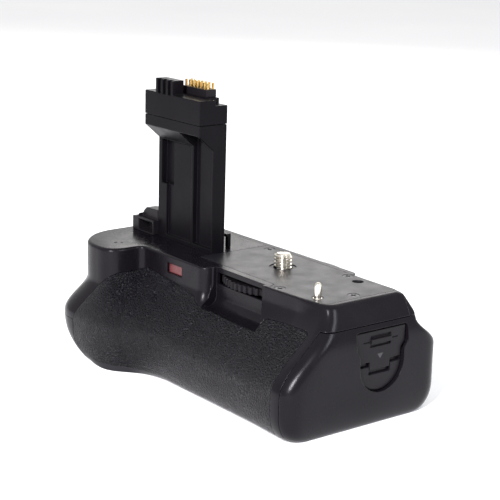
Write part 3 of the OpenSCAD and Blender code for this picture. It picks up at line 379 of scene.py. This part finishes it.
# Nose cover with the release and the dial
NOSE_TOP = FLOOR_Z + 12.8
NOSE_X, CONTROL_Z = -82.8, FLOOR_Z + 5.5
SHUTTER_Y, SHUTTER_TILT = -18.0, 24.0
RING_R, CAGE_R, CAGE_SHOULDER = 5.3, 6.0, -2.2
DIAL_AT, DIAL_R, DIAL_T, DIAL_GAP = (-75.0, 6.0), 9.0, 5.0, 0.4
# Latch, its spring and its arrow
LATCH_Y, LATCH_FLOOR, LATCH_FACE = 0.6, CAP_X + 2.4, CAP_X + 3.5
LATCH_Z, LATCH_W, LATCH_H, LATCH_STEP = 9.3, 23.2, 21.8, 1.7
LATCH_SHELF, LATCH_SLANT, LATCH_GAP, LATCH_TRAVEL = 6.1, 2.1, 0.6, 1.5
SPRING_AT, SPRING_LOW, SPRING_H = (CAP_X + 1.15, LATCH_Y), -21.0, 5.8
SPRING_R, WIRE_R, SPRING_TURNS = 0.85, 0.15, 7
BOLT_HALF, BOLT_LOW, CAP_LIFT = 2.8, SPRING_LOW + SPRING_H - LATCH_TRAVEL - FIT_GAP, 0.3
ARROW_HALF, ARROW_TOP, ARROW_TIP, ARROW_PROUD = 1.3, -18.0, -19.8, 0.03
# Rear buttons and power switch
BUTTONS, BUTTON_Z, BUTTON_R = (-59.4, -48.4, -37.4), 0.5 - WIDE_Z, 3.5
SWITCH_X, SWITCH_W, SWITCH_H = -24.0, 5.5, 3.4
SWITCH_TRAVEL, SWITCH_FROM = 4.0, 24.0
# Base with its screws and its socket
SOCKET_R, BASE_HEAD_R, BASE_HEAD_DEPTH = 6.0, 2.3, 1.0
BASE_SCREWS = [
    (36.5, 7 - BASE_FRONT), (-39.0, 1 - BASE_FRONT),
    (36.5, BASE_BACK - 7), (-56.0, BASE_BACK - 6.4),
]

PLATE = blended([
    (PLATE_RIGHT, 2 - DECK_FRONT + PLATE_RIM, 3.5),
    (PLATE_RIGHT, REAR_SPLIT - PLATE_GAP, 1.4),
    (-PLATE_LEFT, REAR_SPLIT - PLATE_GAP, 0.4),
    (-PLATE_LEFT, -GUARD_Y, 0.4),
    (GUARD_END, -GUARD_Y, 0.4),
    (GUARD_END + 2, PLATE_RIM - DECK_FRONT, 1.0),
])
RUBBER_RIGHT, RUBBER_BACK = CAP_X - 4, -18.7
RUBBER = blended([
    (RUBBER_RIGHT, FLOOR_Z - 1, 0.5),
    (RUBBER_RIGHT, -8.7, 2),
    (GUARD_END + 5, -9.7, 1),
    (GUARD_END + 3, -13.5, 1),
    (-WINDOW_END, -13.5, 2),
    (-WINDOW_END - 4, -10.5, 3),
    (1.5 - NOSE_FLANK, -7.5, 4),
    (-NOSE_FLANK - 8, -16, 3),
    (SEAM - NOSE_SPLIT, NOSE_TOP, 3),
    (SEAM - NOSE_SPLIT, FLOOR_Z - 1, 0.5),
])
PAD_FRONT = 18.8
PAD = blended([(36, -37, 4), (36, -17, 4), (-12, -17, 4), (-12, -37, 4)])


def shield(g=0.0, drop=0.0):
    """Outline of the latch recess in y and z, moved inwards by g and down by drop."""
    slim, wide = LATCH_W / 2 - LATCH_STEP - g, LATCH_W / 2 - g
    top = -LATCH_Z - drop
    shelf, centre = top - LATCH_SHELF, top - LATCH_H + slim + g
    turn = np.linspace(-math.pi, 0, 33)
    arc = [(LATCH_Y + slim * math.cos(a), centre + slim * math.sin(a), 0) for a in turn]
    side = [(slim, shelf - LATCH_SLANT, 0.6), (wide, shelf, 0.6), (wide, top - g, 1.4)]
    right = [(LATCH_Y + y, z, r) for y, z, r in side]
    left = [(LATCH_Y - y, z, r) for y, z, r in side[::-1]]
    return blended(arc + right + left, 4)


def slider_room():
    """Room under the recess's edge for the slider's shoulders to go down."""
    low = -LATCH_Z - LATCH_SHELF - LATCH_SLANT - LATCH_TRAVEL - FIT_GAP
    outline = shield(LATCH_GAP - FIT_GAP, LATCH_TRAVEL + FIT_GAP)
    room = prism(outline, LATCH_FLOOR, LATCH_FACE + FIT_GAP, "x")
    return combine(room, box((0, -FAR, low), (FAR, FAR, FAR)), how="INTERSECT")


def scoop(wall=0.0):
    """The scoop in front of the slot, with a round foot and a flared end, made larger by a wall."""
    foot_y, foot_z, r = -GUARD_FRONT - SCOOP_R, SCOOP_Z + SCOOP_R, SCOOP_R + wall
    turn = np.radians(np.linspace(0, 90, 15))
    side = [(-FAR, SCOOP_Z - wall), (-FAR, 0.1), (wall - GUARD_FRONT, 0.1)]
    side += [(foot_y + r * math.cos(a), foot_z - r * math.sin(a)) for a in turn]
    right = SLOT_RIGHT + wall
    front = blended([
        (-SLOT_LEFT - wall, 0.1, 0), (right, 0.1, 0), (right, SLOT_LOW + 1, 2),
        (right + 0.3 * SCOOP_FLARE, SCOOP_Z + 5.9, 2), (right + SCOOP_FLARE, SCOOP_Z + 1.9, 0.6),
        (right + SCOOP_FLARE, SCOOP_Z - wall, 0), (-SLOT_LEFT - wall, SCOOP_Z - wall, 0),
    ])
    return combine(prism(side, -FAR, FAR, "x"), prism(front, -FAR, 0, "y"), how="INTERSECT")


def wheel_recess():
    return [
        box((SLOT_LIP - SLOT_LEFT, -GUARD_FRONT - 1, SLOT_LOW), (SLOT_RIGHT - SLOT_LIP, 0, -GUARD_T)),
        scoop(),
    ]


def cap_space(gap=0.0):
    return box((CAP_X + gap, -FAR, -FAR), (FAR, FAR, -CAP_Z - gap))


def nose_space(gap=0.0):
    return box((-FAR, -FAR, -FAR), (-NOSE_SPLIT - gap, FAR, NOSE_TOP - gap))


def base_space():
    return box((-FAR, -FAR, -FAR), (FAR, FAR, FLOOR_Z))


def liner_space():
    return box((LINER_X, LINER_FRONT, LINER_LOW), (FAR, LINER_BACK, LINER_TOP))


def window_hole():
    x, z = WINDOW_AT
    w, h = WINDOW_SIZE
    return box(
        (x - WINDOW_GAP, -WINDOW_FRONT - 1, z - WINDOW_GAP),
        (x + w + WINDOW_GAP, -WINDOW_FRONT + SHELL_T + 1, z + h + WINDOW_GAP),
    )


def switch_hole():
    half_w, half_h = SWITCH_W / 2 + FIT_GAP, SWITCH_H / 2 + FIT_GAP
    return box(
        (SWITCH_X - half_w, SWITCH_FROM, BUTTON_Z - half_h),
        (SWITCH_X + half_w + SWITCH_TRAVEL, FAR, BUTTON_Z + half_h),
    )


def shutter_hole(r, lo, hi):
    tilt = math.radians(SHUTTER_TILT)
    axis = Vector((-math.cos(tilt), 0, -math.sin(tilt)))
    at = Vector((NOSE_X, SHUTTER_Y, CONTROL_Z)) + axis * lo
    return cylinder(at, r, hi - lo, axis)


# The body's skin, from which the moulded pieces are cut
outer = skin("outer", rim=True)
plain = skin("plain")
under = skin("under", RUBBER_T)
hollow = skin("hollow", SHELL_T, -DECK_T, FLOOR_Z - 1)
combine(hollow, box((CAP_X - END_WALL, -FAR, -FAR), (FAR, FAR, FAR)))
wall = combine(copy(outer, "wall"), hollow)

# Front shell
front = copy(wall, "front_shell_moulded")
combine(front, combine(scoop(SCOOP_WALL), copy(plain), how="INTERSECT"), how="UNION")
combine(
    front,
    box((-FAR, REAR_SPLIT, -FAR), (FAR, FAR, FAR)),
    combine(prism(grown(RUBBER, SEAM), -FAR, RUBBER_BACK, "y"), copy(under)),
    *wheel_recess(),
    cylinder((0, 0, SLOT_LOW), WHEEL_SPACE_R, -GUARD_T - SLOT_LOW, sides=128),
    liner_space(),
    cap_space(-SEAM_WIDER),
    nose_space(),
    base_space(),
    prism(grown(PLATE, SEAM), -PLATE_T, FAR, "z"),
    cylinder((0, 0, -THROUGH), COLLAR_R - 1, 2 * THROUGH),
    window_hole(),
    box((RIBBON_X - CHANNEL_GAP, CHANNEL_FRONT, -FAR), (RIBBON_X + RIBBON_W + CHANNEL_GAP, COVER_FRONT, FAR)),
    box((-TOWER_LEFT, SHAFT_FRONT, -TOWER_FOOT), (-TOWER_RIGHT, TOWER_BACK, FAR)),
    *[cylinder((x, y, -DIMPLE_DEPTH), r, DIMPLE_CUT, sides=sides) for x, y, r, sides in DIMPLES],
)

# Rear shell with the wheel's housing
housing = lathe([
    (HOUSING_ROOT, -PLATE_RIM), (DECK_BACK - 1, -PLATE_RIM), (HOUSING_R, WHEEL_TOP + 0.45),
    (HOUSING_R, SLOT_LOW - 1), (HOUSING_R - HOUSING_RUN, SLOT_LOW - HOUSING_DROP),
    (HOUSING_ROOT, SLOT_LOW - HOUSING_DROP),
], closed=True)
wheel_room = lathe([
    (0, -GUARD_T), (DECK_BACK - 1, -GUARD_T), (WHEEL_SPACE_R, WHEEL_TOP + 0.25), (WHEEL_SPACE_R, SLOT_LOW),
    (WHEEL_SPACE_R - HOUSING_RUN, SLOT_LOW - HOUSING_DROP - HAIR), (0, SLOT_LOW - HOUSING_DROP - HAIR),
])
rear = combine(copy(wall, "rear_shell_moulded"), housing, how="UNION")
combine(
    rear,
    wheel_room,
    box((-FAR, -FAR, -FAR), (FAR, REAR_SPLIT, FAR)),
    liner_space(),
    cap_space(-SEAM_WIDER),
    nose_space(),
    base_space(),
    combine(prism(grown(PAD, SEAM), PAD_FRONT, FAR, "y"), copy(under)),
    *[cylinder((x, 0, BUTTON_Z), BUTTON_R + FIT_GAP, FAR, (0, 1, 0)) for x in BUTTONS],
    switch_hole(),
)

# Nose cover
nose = combine(copy(wall, "nose_cover_moulded"), nose_space(SEAM), how="INTERSECT")
combine(
    nose,
    base_space(),
    shutter_hole(RING_R + CORE_GAP, CAGE_SHOULDER - 1, THROUGH),
    shutter_hole(CAGE_R + CORE_GAP, -THROUGH, CAGE_SHOULDER),
    cylinder(
        (*DIAL_AT, CONTROL_Z - DIAL_T / 2 - DIAL_GAP), DIAL_R + DIAL_GAP, DIAL_T + 2 * DIAL_GAP, sides=96
    ),
)

# Bottom plate
base = combine(copy(plain, "bottom_plate_moulded"), base_space(), how="INTERSECT")
combine(
    base,
    cap_space(),
    cylinder((0, 0, -2 * THROUGH), SOCKET_R + CORE_GAP, THROUGH),
    *[cylinder((x, y, -BODY_H - 1), BASE_HEAD_R + SEAM, 1 + BASE_HEAD_DEPTH) for x, y in BASE_SCREWS],
)

# Rubber skins
sheet = combine(copy(plain, "sheet"), copy(under))
grip = combine(copy(sheet, "front_grip_moulded"), prism(RUBBER, -FAR, RUBBER_BACK, "y"), how="INTERSECT")
combine(grip, *wheel_recess(), base_space(), liner_space())
pad = combine(copy(sheet, "rear_thumb_moulded"), prism(PAD, PAD_FRONT, FAR, "y"), how="INTERSECT")

# End cap with the latch recess, the bolt's way and the spring's hole
cap = combine(copy(plain, "end_cap_moulded"), cap_space(SEAM + SEAM_WIDER), how="INTERSECT")
combine(
    cap,
    box((-FAR, -FAR, -FAR), (FAR, FAR, CAP_LIFT - BODY_H)),
    prism(shield(), LATCH_FLOOR, FAR, "x"),
    slider_room(),
    box((0, LATCH_Y - BOLT_HALF, BOLT_LOW), (FAR, LATCH_Y + BOLT_HALF, -LATCH_Z - 2)),
    box((0, LATCH_Y - BOLT_HALF, -LATCH_Z - 3), (LATCH_FLOOR - SEAM, LATCH_Y + BOLT_HALF, 0)),
    cylinder((*SPRING_AT, SPRING_LOW), SPRING_R + FIT_GAP, SPRING_H + 0.2, sides=32),
)
for spare in (outer, plain, under, wall, sheet):
    bpy.data.objects.remove(spare)


def lift_edges(obj, width, angle=55, merge=0.06):
    """Rounds the sharp edges of a cut piece."""
    bm = bmesh.new()
    bm.from_mesh(obj.data)
    bmesh.ops.remove_doubles(bm, verts=bm.verts, dist=merge * MM)
    bmesh.ops.dissolve_degenerate(bm, edges=bm.edges, dist=merge * MM)
    limit = math.radians(angle)
    sharp = [e for e in bm.edges if len(e.link_faces) == 2 and e.calc_face_angle(0) > limit]
    bmesh.ops.bevel(
        bm, geom=sharp, offset=width * MM, offset_type="OFFSET", segments=2, profile=0.5,
        affect="EDGES", clamp_overlap=True,
    )
    bm.to_mesh(obj.data)
    bm.free()
    return obj


def tube(name, points, r, sides=10):
    """A closed tube of radius r along points, in millimetres."""
    rows = []
    for i, p in enumerate(points):
        d = (points[min(i + 1, len(points) - 1)] - points[max(i - 1, 0)]).normalized()
        side = d.cross(Vector((0, 0, 1))).normalized()
        up = side.cross(d)
        turns = (2 * math.pi * k / sides for k in range(sides))
        rows.append([(p + r * (math.cos(a) * side + math.sin(a) * up)) * MM for a in turns])
    return stack(name, rows)


# Attachment screw with a running thread
SCREW_R, SCREW_ROOT, PITCH = 3.175, 2.625, 1.27
SCREW_LOW, REACH, LEAD_IN = -12.8, 5.0, 0.4
THREAD_FROM, THREAD_TO, FADE_IN, FADE_OUT = -0.48, 4.55, 0.3, 0.25
HALF_CREST, FLANK = 0.2, 0.34


def thread_radius(z, turn):
    """The screw's radius at a height and a turn from 0 to 1, faded at both ends of the thread."""
    u = ((z - THREAD_FROM) / PITCH - turn) % 1.0
    height = 1 - np.clip((min(u, 1 - u) * PITCH - HALF_CREST) / FLANK, 0, 1)
    fade = np.clip(min((z - THREAD_FROM) / FADE_IN, (THREAD_TO - z) / FADE_OUT), 0, 1)
    return SCREW_ROOT + (SCREW_R - SCREW_ROOT) * height * fade


def screw_mesh(sides=72):
    """The screw as stacked rings: shank, thread and chamfered tip."""
    shank, tip = SCREW_ROOT - 0.05, SCREW_ROOT - LEAD_IN
    rows = [circle(shank, SCREW_LOW, sides), circle(shank, THREAD_FROM - 0.05, sides)]
    for z in np.linspace(THREAD_FROM, REACH - LEAD_IN, 130):
        rows.append(circle([thread_radius(z, k / sides) for k in range(sides)], z, sides))
    for r, z in ((SCREW_ROOT - 0.15, REACH - 0.25), (tip, REACH - 0.04), (tip - 0.12, REACH)):
        rows.append(circle(r, z, sides))
    return stack("attachment_screw_threaded", rows)


screw = screw_mesh()


# Contact pins with rounded tips
def finger(x, y):
    w, root, top = PIN_HALF_W, CONTACT_TOP - PIN_ROOT, CONTACT_TOP + PIN_H
    arch = [(x + w * math.cos(a), top - w + w * math.sin(a)) for a in np.linspace(0, math.pi, 9)]
    return prism([(x - w, root), (x + w, root)] + arch, y - PIN_HALF_D, y + PIN_HALF_D, "y")


contact_xs = [CONTACT_X + (i - (CONTACT_COUNT - 1) / 2) * CONTACT_PITCH for i in range(CONTACT_COUNT)]
fingers, *more_fingers = [finger(x, y) for x in contact_xs for y in CONTACT_ROWS]
combine(fingers, *more_fingers, how="UNION")
fingers.name = "contact_fingers"


# Latch spring, wound
def spring_point(t):
    a, r = 2 * math.pi * SPRING_TURNS * t, SPRING_R - WIRE_R
    z = SPRING_LOW + WIRE_R + (SPRING_H - 2 * WIRE_R) * t
    return Vector((SPRING_AT[0] + r * math.cos(a), SPRING_AT[1] + r * math.sin(a), z))


spring_line = [spring_point(t) for t in np.linspace(0, 1, SPRING_TURNS * 20 + 1)]
spring = tube("latch_spring_wound", spring_line, WIRE_R)

# A plain arrow on the latch, pointing the way it slides
arrow = prism(
    [(LATCH_Y - ARROW_HALF, ARROW_TOP), (LATCH_Y + ARROW_HALF, ARROW_TOP), (LATCH_Y, ARROW_TIP)],
    LATCH_FACE - 0.1, LATCH_FACE + ARROW_PROUD, "x",
)
arrow.name = "latch_arrow"


# Materials
def feed(tree, node, inputs):
    """Sets a node's inputs to values, or links them where an output is given."""
    for key, value in inputs.items():
        if isinstance(value, bpy.types.NodeSocket):
            tree.links.new(value, node.inputs[key])
        else:
            node.inputs[key].default_value = value


def add(tree, kind, inputs=(), **props):
    node = tree.nodes.new(kind)
    for key, value in props.items():
        setattr(node, key, value)
    feed(tree, node, dict(inputs))
    return node


def start(name):
    mat = bpy.data.materials.new(name)
    mat.use_nodes = True
    tree = mat.node_tree
    coord = add(tree, "ShaderNodeTexCoord").outputs["Object"]
    return mat, tree, tree.nodes["Principled BSDF"], coord


def noise(tree, coord, scale, detail=3.0, rough=0.5):
    inputs = {"Vector": coord, "Scale": scale, "Detail": detail, "Roughness": rough}
    return add(tree, "ShaderNodeTexNoise", inputs).outputs["Fac"]


def spread(tree, value, lo, hi, a=0.3, b=0.7):
    """A value between a and b, spread to between lo and hi."""
    inputs = {"Value": value, "From Min": a, "From Max": b, "To Min": lo, "To Max": hi}
    return add(tree, "ShaderNodeMapRange", inputs).outputs["Result"]


def blend_colour(tree, factor, a, b):
    node = add(tree, "ShaderNodeMix", data_type="RGBA")
    for key, value in (("Factor", factor), ("A", a), ("B", b)):
        socket = [s for s in node.inputs if s.name == key and s.enabled][0]
        if isinstance(value, bpy.types.NodeSocket):
            tree.links.new(value, socket)
        else:
            socket.default_value = value
    return [s for s in node.outputs if s.enabled][0]


def rgba(r, g, b):
    return (r, g, b, 1.0)


def mottled(tree, coord, scale, dark, light, detail=3.0):
    """A colour that wanders between two tones."""
    patches = spread(tree, noise(tree, coord, scale, detail), 0.0, 1.0)
    return blend_colour(tree, patches, rgba(*dark), rgba(*light))


def softened(tree, radius, samples=6):
    """The surface normal, rounded along edges."""
    return add(tree, "ShaderNodeBevel", {"Radius": radius}, samples=samples).outputs["Normal"]


def bumped(tree, height, distance, strength, **normal):
    """The surface normal, or the one given, disturbed by a height."""
    inputs = {"Height": height, "Distance": distance, "Strength": strength, **normal}
    return add(tree, "ShaderNodeBump", inputs).outputs["Normal"]


def edge_mask(tree, soft):
    """1 along edges, where the rounded normal leaves the true one."""
    true = add(tree, "ShaderNodeNewGeometry").outputs["Normal"]
    dot = add(tree, "ShaderNodeVectorMath", {0: soft, 1: true}, operation="DOT_PRODUCT")
    return spread(tree, dot.outputs["Value"], 1.0, 0.0, 0.8, 0.99)


def plastic(name, dark, light, rough, grain=2600.0, radius=0.00035, specular=0.5):
    """Moulded plastic: fine spark-eroded grain, uneven sheen, and a lighter colour painted along the edges in
    patches as a highlight.
    """
    mat, tree, bsdf, coord = start(name)
    soft = softened(tree, radius)
    # Painted highlight: the edges are mixed towards a much lighter colour, in patches
    edge_highlight_patches = spread(tree, noise(tree, coord, 420.0), 0.0, 0.35)
    painted_edge_highlight = add(tree, "ShaderNodeMath", {0: edge_mask(tree, soft), 1: edge_highlight_patches}, operation="MULTIPLY").outputs[0]
    painted_highlight_colour = rgba(*[min(1.0, c * 3.2 + 0.012) for c in light])
    feed(tree, bsdf, {
        "Base Color": blend_colour(tree, painted_edge_highlight, mottled(tree, coord, 55.0, dark, light, 4.0), painted_highlight_colour),
        "Roughness": spread(tree, noise(tree, coord, 130.0), rough - 0.05, rough + 0.07),
        "Normal": bumped(tree, noise(tree, coord, grain, 2.0, 0.6), 0.00003, 0.8, Normal=soft),
        "Specular IOR Level": specular,
    })
    return mat


def pebbled(name, dark, light):
    """Grip rubber with a leather-like pebble grain, its grooves painted darker and its tops lighter as
    painted shade and highlight.
    """
    mat, tree, bsdf, coord = start(name)
    stir = add(tree, "ShaderNodeTexNoise", {"Vector": coord, "Scale": 600.0, "Detail": 2.0}).outputs["Color"]
    shift = add(tree, "ShaderNodeVectorMath", {0: stir, "Scale": 0.0007}, operation="SCALE").outputs[0]
    place = add(tree, "ShaderNodeVectorMath", {0: coord, 1: shift}, operation="ADD").outputs[0]
    cells = add(tree, "ShaderNodeTexVoronoi", {"Vector": place, "Scale": 1000.0}, feature="DISTANCE_TO_EDGE")
    dome = spread(tree, cells.outputs["Distance"], 0.0, 1.0, 0.02, 0.32)
    fine = spread(tree, noise(tree, coord, 5200.0, 2.0), 0.0, 0.25)
    height = add(tree, "ShaderNodeMath", {0: dome, 1: fine}, operation="ADD").outputs[0]
    feed(tree, bsdf, {
        # Painted shade and highlight: the colour is darker in the grooves between pebbles and lighter on
        # their tops
        "Base Color": blend_colour(tree, dome, rgba(*dark), rgba(*light)),
        "Roughness": spread(tree, noise(tree, coord, 240.0), 0.26, 0.38),
        "Normal": bumped(tree, height, 0.0004, 0.9, Normal=softened(tree, 0.0006)),
        "Specular IOR Level": 0.15,
    })
    return mat


def metal(name, dark, light, rough, stretch=(1.0, 1.0, 14.0)):
    """Turned or plated metal with faint tool marks."""
    mat, tree, bsdf, coord = start(name)
    drawn = add(tree, "ShaderNodeVectorMath", {0: coord, 1: stretch}, operation="MULTIPLY").outputs[0]
    marks = noise(tree, drawn, 700.0, 4.0)
    feed(tree, bsdf, {
        "Base Color": mottled(tree, coord, 300.0, dark, light),
        "Roughness": spread(tree, marks, rough - 0.06, rough + 0.1),
        "Normal": bumped(tree, marks, 0.00001, 0.6, Normal=softened(tree, 0.00012, 4)),
        "Metallic": 1.0,
    })
    return mat


def filter_plastic(name):
    """Dark red filter: glossy, with depth."""
    mat, tree, bsdf, coord = start(name)
    feed(tree, bsdf, {
        "Base Color": mottled(tree, coord, 260.0, (0.05, 0.012, 0.013), (0.085, 0.022, 0.023)),
        "Roughness": spread(tree, noise(tree, coord, 900.0), 0.12, 0.26),
        "Normal": bumped(tree, noise(tree, coord, 500.0), 0.00002, 0.5),
        "Coat Weight": 0.1,
        "Specular IOR Level": 0.2,
    })
    return mat


def board(name):
    """Circuit board: green mask over fine copper tracks."""
    mat, tree, bsdf, coord = start(name)
    grid = {"Vector": coord, "Scale": 420.0, "Mortar Size": 0.05}
    tracks = add(tree, "ShaderNodeTexBrick", grid, offset=0.3).outputs["Fac"]
    mask = mottled(tree, coord, 200.0, (0.012, 0.09, 0.03), (0.02, 0.13, 0.05))
    feed(tree, bsdf, {
        "Base Color": blend_colour(tree, tracks, mask, rgba(0.05, 0.19, 0.06)),
        "Roughness": spread(tree, noise(tree, coord, 350.0), 0.25, 0.42),
        "Normal": bumped(tree, tracks, 0.00003, 0.5),
    })
    return mat


def ribbon(name):
    """Flat cable: amber film over parallel conductors."""
    mat, tree, bsdf, coord = start(name)
    stripes = {"Vector": coord, "Scale": 320.0, "Distortion": 0.0}
    lines = add(tree, "ShaderNodeTexWave", stripes, bands_direction="X").outputs["Fac"]
    film = mottled(tree, coord, 180.0, (0.22, 0.08, 0.015), (0.3, 0.12, 0.03))
    feed(tree, bsdf, {
        "Base Color": blend_colour(tree, spread(tree, lines, 0.0, 0.7, 0.4, 0.7), film, rgba(0.5, 0.25, 0.1)),
        "Roughness": spread(tree, noise(tree, coord, 400.0), 0.28, 0.4),
    })
    return mat


LOOK = {
    "shell_plastic": plastic(
        "shell_plastic", (0.0029, 0.0023, 0.0034), (0.0046, 0.0038, 0.0052), 0.23, specular=0.11
    ),
    "plate_plastic": plastic(
        "plate_plastic", (0.005, 0.0047, 0.006), (0.008, 0.0076, 0.0092), 0.34,
        grain=3200.0, radius=0.0002, specular=0.2,
    ),
    "grip_rubber": pebbled("grip_rubber", (0.0008, 0.0006, 0.0013), (0.0034, 0.0029, 0.0048)),
    "tower_plastic": plastic(
        "tower_plastic", (0.0022, 0.0019, 0.0026), (0.0036, 0.0032, 0.004), 0.32,
        grain=3000.0, specular=0.05,
    ),
    "control_plastic": plastic(
        "control_plastic", (0.0048, 0.0042, 0.0052), (0.0072, 0.0064, 0.0076), 0.3,
        grain=3400.0, radius=0.00025, specular=0.1,
    ),
    "inner_plastic": plastic(
        "inner_plastic", (0.006, 0.006, 0.007), (0.011, 0.0105, 0.012), 0.42, grain=2200.0, specular=0.2
    ),
    "red_filter": filter_plastic("red_filter"),
    "sensor": plastic("sensor", (0.006, 0.0055, 0.008), (0.012, 0.011, 0.015), 0.2, grain=900.0),
    "nickel": metal("nickel", (0.62, 0.58, 0.5), (0.74, 0.7, 0.62), 0.2),
    "dark_screw": metal("dark_screw", (0.02, 0.02, 0.023), (0.045, 0.045, 0.05), 0.34),
    "gold": metal("gold", (0.66, 0.43, 0.14), (0.83, 0.6, 0.26), 0.24, (1.0, 1.0, 3.0)),
    "spring_steel": metal("spring_steel", (0.42, 0.42, 0.44), (0.58, 0.58, 0.6), 0.26),
    "circuit_board": board("circuit_board"),
    "ribbon": ribbon("ribbon"),
}
MARK = plastic("grey_mark", (0.012, 0.0114, 0.0128), (0.019, 0.018, 0.02), 0.45)

# Which piece stands for which node, on which body
slots = {s["node"]: s["material_slot"] for s in frame["record"]["subparts"]}
DRESSED = [
    (front, "front_shell", "body"),
    (rear, "rear_shell", "body"),
    (nose, "nose_cover", "body"),
    (base, "bottom_plate", "body"),
    (grip, "front_grip_rubber", "body"),
    (pad, "rear_thumb_rubber", "body"),
    (cap, "end_cap", "magazine"),
    (screw, "attachment_screw", "wheel"),
    (fingers, "contact_pins", "body"),
    (spring, "latch_spring", "magazine"),
]
for obj, name, body in DRESSED:
    if obj in (grip, pad):
        lift_edges(obj, 0.3)
    shade(obj)
    obj.data.materials.clear()
    obj.data.materials.append(LOOK[slots[name]])
    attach(obj, body)
    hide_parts(name)
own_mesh(spring)

shade(arrow)
arrow.data.materials.append(MARK)
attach(arrow, "latch")

# The other nodes keep their CAD shape, with softened edges
SOFT_EDGE = {
    "top_plate": 0.12, "door_holder": 0.3, "door_catch": 0.2, "tower_front": 0.3,
    "tower_back_cover": 0.3, "tower_head": 0.3, "contact_block": 0.15, "thumbwheel": 0.14,
    "locating_pin_bush": 0.1, "screw_collar": 0.1, "latch_slider": 0.22, "latch_tab": 0.22,
    "magazine_tray": 0.25, "bay_liner": 0.25, "control_dial": 0.14, "shutter_ring": 0.12,
    "shutter_button": 0.15, "power_switch": 0.14, "infrared_window": 0.1, "tripod_socket": 0.15,
    "top_plate_screws": 0.08, "bottom_plate_screws": 0.08, "end_cap_screws": 0.08,
    "af_point_button": 0.15, "ae_lock_button": 0.15, "exposure_button": 0.15,
}
replaced = {name for _, name, _ in DRESSED}
for name, obj in NODES.items():
    if name in replaced:
        continue
    obj.data.materials.clear()
    obj.data.materials.append(LOOK[slots[name]])
    weld = obj.modifiers.new("weld", "WELD")
    weld.merge_threshold = 2e-6
    if name in SOFT_EDGE:
        soft = obj.modifiers.new("soft_edge", "BEVEL")
        soft.width = SOFT_EDGE[name] * MM
        soft.segments = 2
        soft.limit_method = "ANGLE"
        soft.angle_limit = math.radians(40)
        soft.harden_normals = True


# Floor, light and camera, in metres
def floor():
    bm = bmesh.new()
    bmesh.ops.create_grid(bm, x_segments=2, y_segments=2, size=3.0)
    bmesh.ops.translate(bm, vec=(0, 0, -BODY_H * MM), verts=bm.verts)
    obj = new_object("floor", bm)
    mat, tree, bsdf, coord = start("pale_floor")
    feed(tree, bsdf, {
        "Base Color": mottled(tree, coord, 3.0, (0.86, 0.86, 0.87), (0.9, 0.9, 0.9)),
        "Roughness": 0.85,
    })
    obj.data.materials.append(mat)


def softbox(name, at, target, size, power, colour):
    data = bpy.data.lights.new(name, "AREA")
    data.shape = "RECTANGLE"
    data.size, data.size_y = size
    data.energy = power
    data.color = colour
    obj = bpy.data.objects.new(name, data)
    bpy.context.scene.collection.objects.link(obj)
    obj.location = at
    obj.rotation_euler = (Vector(target) - Vector(at)).to_track_quat("-Z", "Y").to_euler()


floor()
softbox("behind", (-0.62, 0.75, 0.42), (0, 0, 0), (0.8, 0.35), 2.2, (1.0, 0.97, 0.95))
softbox("right", (0.7, 0.2, 0.5), (0, 0, 0), (0.22, 0.45), 4.0, (0.9, 0.94, 1.0))
softbox("left", (0.45, -0.75, 0.5), (0, 0, 0), (0.14, 0.4), 26.0, (0.97, 0.95, 1.0))

world = bpy.data.worlds.new("studio")
bpy.context.scene.world = world
world.use_nodes = True
world.node_tree.nodes["Background"].inputs["Color"].default_value = (1, 1, 1, 1)
world.node_tree.nodes["Background"].inputs["Strength"].default_value = 0.9

# The camera's place and axes, fitted to the straight edges of the object
CAMERA_AT = Vector((0.3712, -0.3099, 0.1307))
CAMERA_RIGHT = Vector((0.6161, 0.7872, 0.0274))
CAMERA_UP = Vector((-0.2136, 0.1335, 0.9677))
cam = bpy.data.cameras.new("camera")
cam.sensor_width = 36.0
cam.lens = 101.66
cam.clip_start, cam.clip_end = 0.01, 20.0
camera = bpy.data.objects.new("camera", cam)
bpy.context.scene.collection.objects.link(camera)
back = CAMERA_RIGHT.cross(CAMERA_UP).normalized()
up = back.cross(CAMERA_RIGHT).normalized()
turn = Matrix((CAMERA_RIGHT, up, back)).transposed().to_4x4()
camera.matrix_world = Matrix.Translation(CAMERA_AT) @ turn
bpy.context.scene.camera = camera
bpy.context.scene.view_settings.view_transform = "Standard"
